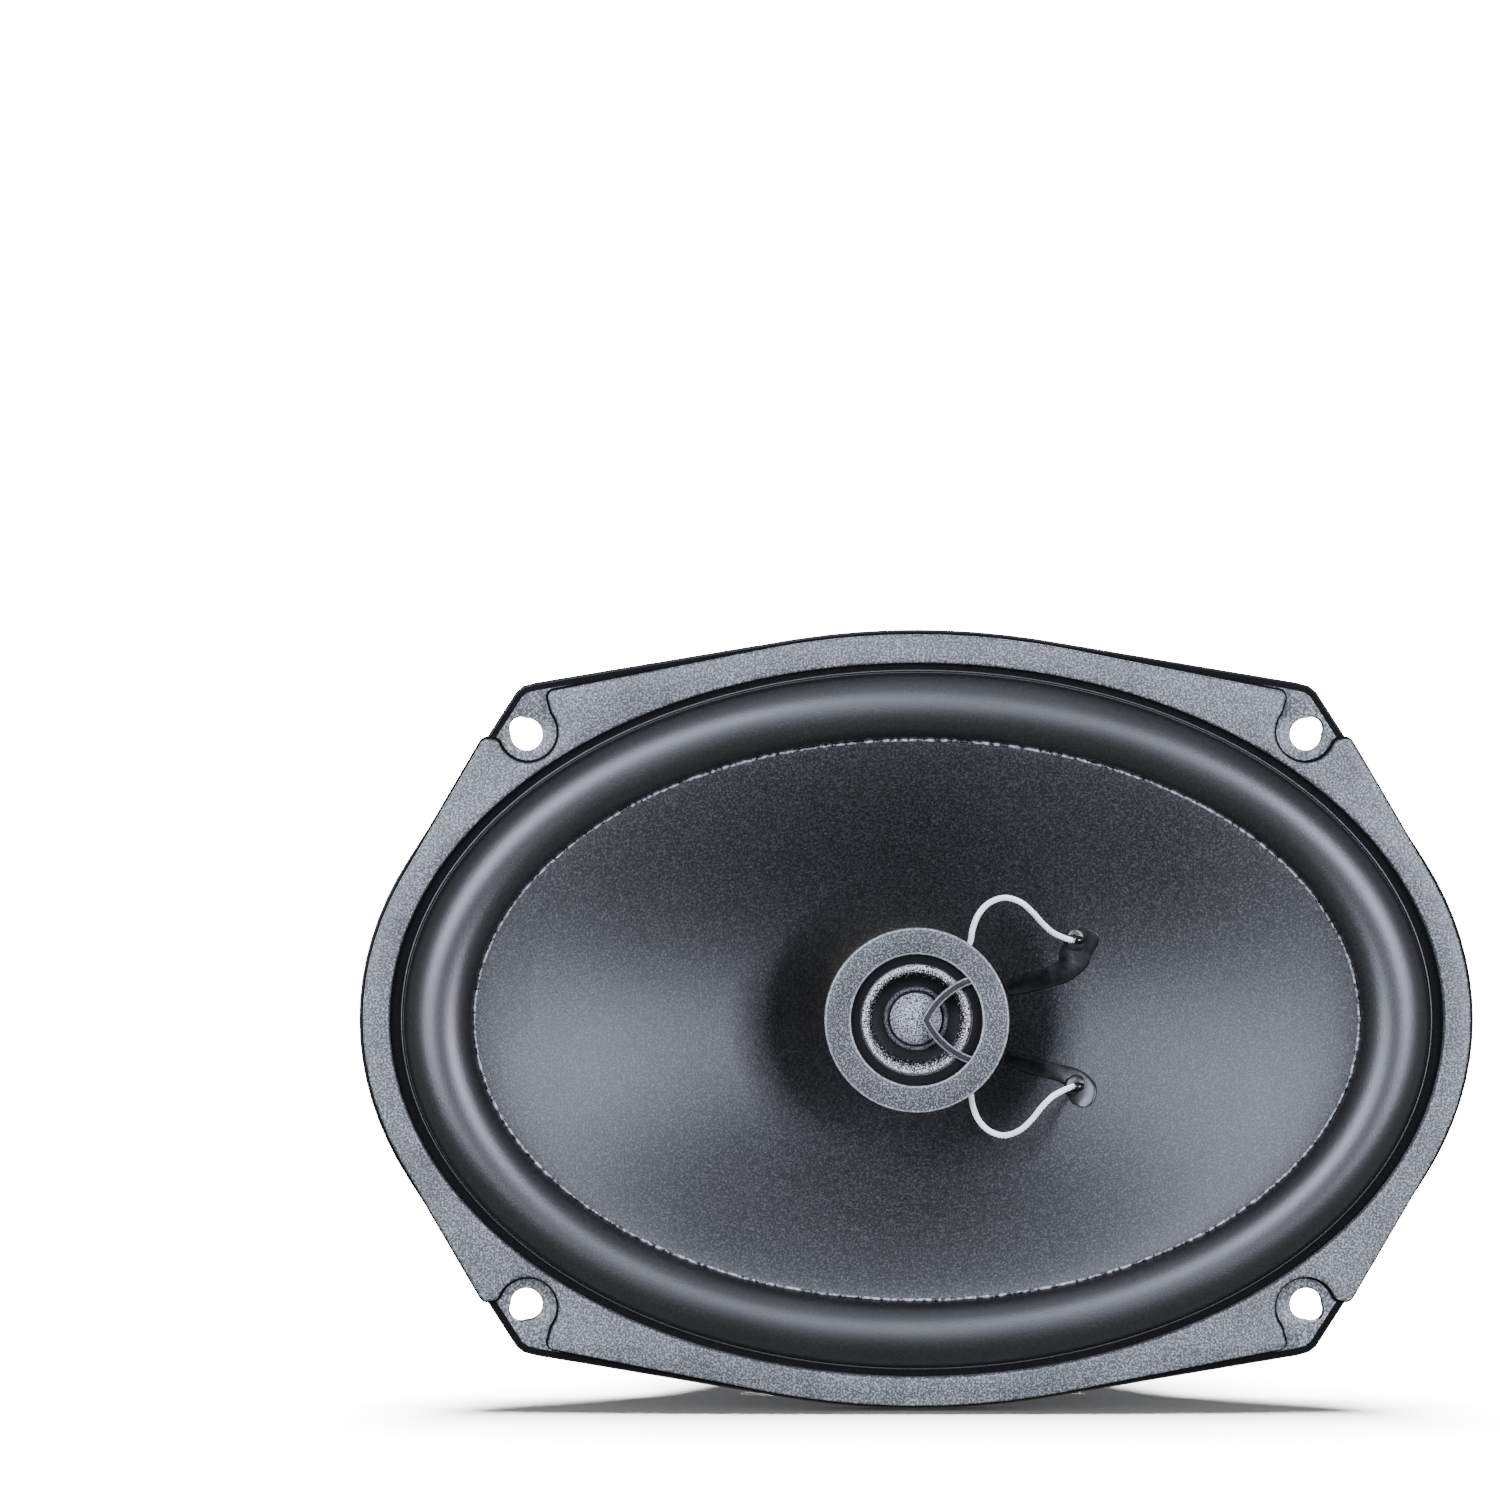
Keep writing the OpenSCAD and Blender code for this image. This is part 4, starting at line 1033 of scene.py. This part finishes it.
def blob(centre, size, turn, uneven, seed, steps=40):
    """A lump that has set from liquid: an ellipsoid with slow dents."""
    chance = np.random.default_rng(seed)
    waves = [(chance.normal(size=3) * 2.2, chance.uniform(0, PHASES)) for _ in range(5)]
    c, s = math.cos(math.radians(turn)), math.sin(math.radians(turn))
    rows, columns = steps // 2, steps
    directions = [(math.sin(a) * math.cos(b), math.sin(a) * math.sin(b), math.cos(a))
                  for a in np.linspace(0.04, math.pi - 0.04, rows)
                  for b in np.linspace(0, WHOLE_TURN, columns, endpoint=False)]
    d = np.array(directions)
    swell = 1 + uneven * sum(np.sin(d @ w + phase) for w, phase in waves) / 3
    points = d * size * swell[:, None]
    points = points @ np.array([[c, s, 0], [-s, c, 0], [0, 0, 1]]) + centre
    return points, tube_faces(rows, columns)


def puddle(path, side, seed):
    """A strip of glue that follows the cone, with a wavy edge and an uneven back."""
    chance = np.random.default_rng(seed)
    line = curve_through(path, ROUTE_STEPS)
    spot, width = line[:, :2], line[:, 2]
    ahead = np.gradient(spot, axis=0)
    ahead /= np.linalg.norm(ahead, axis=1)[:, None]
    across = np.column_stack([ahead[:, 1], -ahead[:, 0]])
    shares = np.linspace(-1, 1, 17)
    wave = [chance.uniform(0, PHASES, 4) for _ in range(3)]
    rows = []
    for i in range(len(line)):
        ring = []
        for share in shares:
            flank = int(share > 0)
            edge = 1 + 0.07 * math.sin(0.13 * i + wave[0][flank])
            edge += 0.03 * math.sin(0.31 * i + wave[1][flank])
            p = spot[i] + across[i] * share * max(width[i], 0.05) * edge
            lumps = 1 + 0.2 * math.sin(0.15 * i + 2 * share + wave[2][0])
            crown = max(0.0, 1 - share ** 2) ** 0.5
            ring.append((p[0], side * p[1], cone_z(*p) + 0.06 + 0.55 * min(1, width[i]) * crown * lumps))
        ring += [(x, y, cone_z(x, abs(y)) - 0.12) for x, y, _ in ring[::-1]]
        rows.append(ring)
    return np.array(rows).reshape(-1, 3), tube_faces(len(rows), len(rows[0]))


def wiring():
    """The leads in front of and behind the cone, and the glue that holds them on it."""
    for name, side, seed in (("upper", 1, 11), ("lower", -1, 23)):
        lead(f"tweeter_braid_{name}", TWEETER_ROUTE, 0.66, 5.0, braid, f"tweeter_lead_{name}", side)
        lead(f"terminal_braid_{name}", TERMINAL_ROUTE, 0.75, 6.0, tinsel, f"terminal_lead_{name}", side)
        at = np.array([EYELET[0], side * EYELET[1], cone_z(*EYELET) + 0.75])
        drop = blob(at, (1.75, 1.15, 1.4), -12 * side, 0.06, seed)
        sleeve = blob(at + [-1.5, 0.1 * side, 0.9], (1.1, 0.85, 0.9), -8 * side, 0.04, seed + 1)
        cover = blob(at - [0, 0, 0.35], (2.7, 2.45, 0.9), 20 * side, 0.06, seed + 2)
        make(f"glue_{name}", *joined([puddle(GLUE[name], side, seed), cover]), glue_black, "cone_assembly",
             "black_glue", [f"lead_glue_{name}"], 80)
        make(f"glue_drop_{name}", *joined([drop, sleeve]), drop_black, "cone_assembly", "black_glue",
             [f"lead_glue_{name}"], 80)
    kept("lead_eyelets", tin)


BLADE_Y = 9.6
RIVET_X = 62.5
SOLDER_X = 66


def terminals():
    """The fibre board with its two riveted blades and soldered leads."""
    low, high = span("terminal_board")
    make("fibre_board", *pressed("terminal_board", low[2], high[2], 0.15), board_brown, "frame", "board",
         ["terminal_board"])
    for name in ("terminal_positive", "terminal_negative"):
        low, high = span(name)
        make(name.replace("terminal", "blade"), *pressed(name, low[2], high[2], 0.22), tin, "frame",
             "tinned_brass", [name])
    for name, node_name, r, places in (
        ("blade_rivets", "terminal_rivets", 1.1, (-BLADE_Y, BLADE_Y)),
        ("board_rivet", "terminal_board_rivet", 1.6, (0.0,)),
    ):
        back, front = (corner[2] for corner in span(node_name))
        eye = [(0, back), (1.5 * r, back), (1.8 * r, back + 0.4), (1.8 * r, back + 0.8), (r, back + 0.8),
               (r, front - 0.8), (1.8 * r, front - 0.8), (1.8 * r, front - 0.4), (1.5 * r, front),
               (0.5 * r, front), (0.4 * r, front - 0.3), (0, front - 0.3)]
        shapes = [moved(turned(eye, 0.12, 48), (RIVET_X, y, 0)) for y in places]
        make(name, *joined(shapes), rivet_steel, "frame", "plated_steel", [node_name])
    z = span("solder_joints")[0][2] + 0.35
    drops = [blob((SOLDER_X, y, z), (1.5, 1.35, 1.1), 20 * y, 0.14, 7 + k)
             for k, y in enumerate((-BLADE_Y, BLADE_Y))]
    make("solder_drops", *joined(drops), solder, "frame", "solder", ["solder_joints"], 80)


# ---------------------------------------------------------------- stage

LAMP_COLOUR = (0.882, 0.942, 1.09)
FLOOR_REACH = 40
CAMERA_PLACE = (-0.0352, -0.7523, 0.057)


def area_light(name, place, size, power, height=None):
    """A lamp that faces the frame's origin."""
    data = bpy.data.lights.new(name, "AREA")
    data.energy = power
    data.color = LAMP_COLOUR
    data.size = size
    if height:
        data.shape = "RECTANGLE"
        data.size_y = height
    placed(name, data, place, (-Vector(place)).to_track_quat("-Z", "Y").to_euler())


def world_light(seen, cast):
    """A white world: one strength where the camera sees it, and a lower one for the light it casts."""
    world = bpy.data.worlds.new("studio")
    world.use_nodes = True
    tree = world.node_tree
    backgrounds = [tree.nodes["Background"], tree.nodes.new("ShaderNodeBackground")]
    for background, strength in zip(backgrounds, (cast, seen)):
        background.inputs["Color"].default_value = (1, 1, 1, 1)
        background.inputs["Strength"].default_value = strength
    mix = tree.nodes.new("ShaderNodeMixShader")
    tree.links.new(tree.nodes.new("ShaderNodeLightPath").outputs["Is Camera Ray"], mix.inputs[0])
    tree.links.new(backgrounds[0].outputs[0], mix.inputs[1])
    tree.links.new(backgrounds[1].outputs[0], mix.inputs[2])
    tree.links.new(mix.outputs[0], tree.nodes["World Output"].inputs["Surface"])
    bpy.context.scene.world = world


def studio():
    """A white floor that runs out into a white world, soft light from the front, and the camera."""
    sides = ((-1, -1), (1, -1), (1, 1), (-1, 1))
    corners = [(FLOOR_REACH * x, FLOOR_REACH * y, cad_bounds[0][2]) for x, y in sides]
    floor = placed("floor", new_mesh("floor", corners, [(0, 1, 2, 3)]))
    material, tree, shader = start_material("pale_floor")
    colour = ramp(tree, grain(tree, 200.0, 2.0), (0.88, 0.88, 0.88), (0.92, 0.92, 0.92))
    tree.links.new(colour, shader.inputs["Base Color"])
    shader.inputs["Roughness"].default_value = 0.9
    floor.data.materials.append(material)
    floor.visible_diffuse = False
    floor.visible_glossy = False

    world_light(seen=26.0, cast=0.3)
    area_light("softbox_left", (-0.78, -1.34, 0.1), 0.6, 33, 0.9)
    area_light("softbox_right", (0.86, -1.29, 0.12), 0.6, 45, 0.9)
    area_light("softbox_top", (0.0, -0.6, 1.4), 1.2, 4)
    area_light("front_key", (-0.53, -1.45, 0.82), 0.9, 28, 0.7)
    area_light("rear_fill", (0.5, 1.5, 0.8), 1.4, 60)
    area_light("rear_side", (-1.3, 0.9, 0.3), 1.0, 30)

    spared = bpy.data.collections.new("all_but_floor")
    spared.objects.link(floor)
    spared.collection_objects[0].light_linking.link_state = "EXCLUDE"
    for lamp in [o for o in bpy.context.scene.objects if o.type == "LIGHT"]:
        lamp.light_linking.receiver_collection = spared

    lit = bpy.data.collections.new("floor_light")
    lit.objects.link(floor)
    data = bpy.data.lights.new("floor_sun", "SUN")
    data.energy = 64
    data.angle = math.radians(26)
    sun = placed("floor_sun", data, rotation=(math.radians(-6), 0, 0))
    sun.light_linking.receiver_collection = lit

    camera_data = bpy.data.cameras.new("camera")
    camera_data.lens = 85
    camera_data.sensor_width = 36
    camera = placed("camera", camera_data, CAMERA_PLACE, (math.pi / 2, 0, 0))
    bpy.context.scene.camera = camera


studio()
basket()
trim_ring()
gasket()
cone()
surround()
spider()
motor()
tweeter_front()
tweeter_film()
tweeter_body()
wiring()
terminals()
edge_bead()
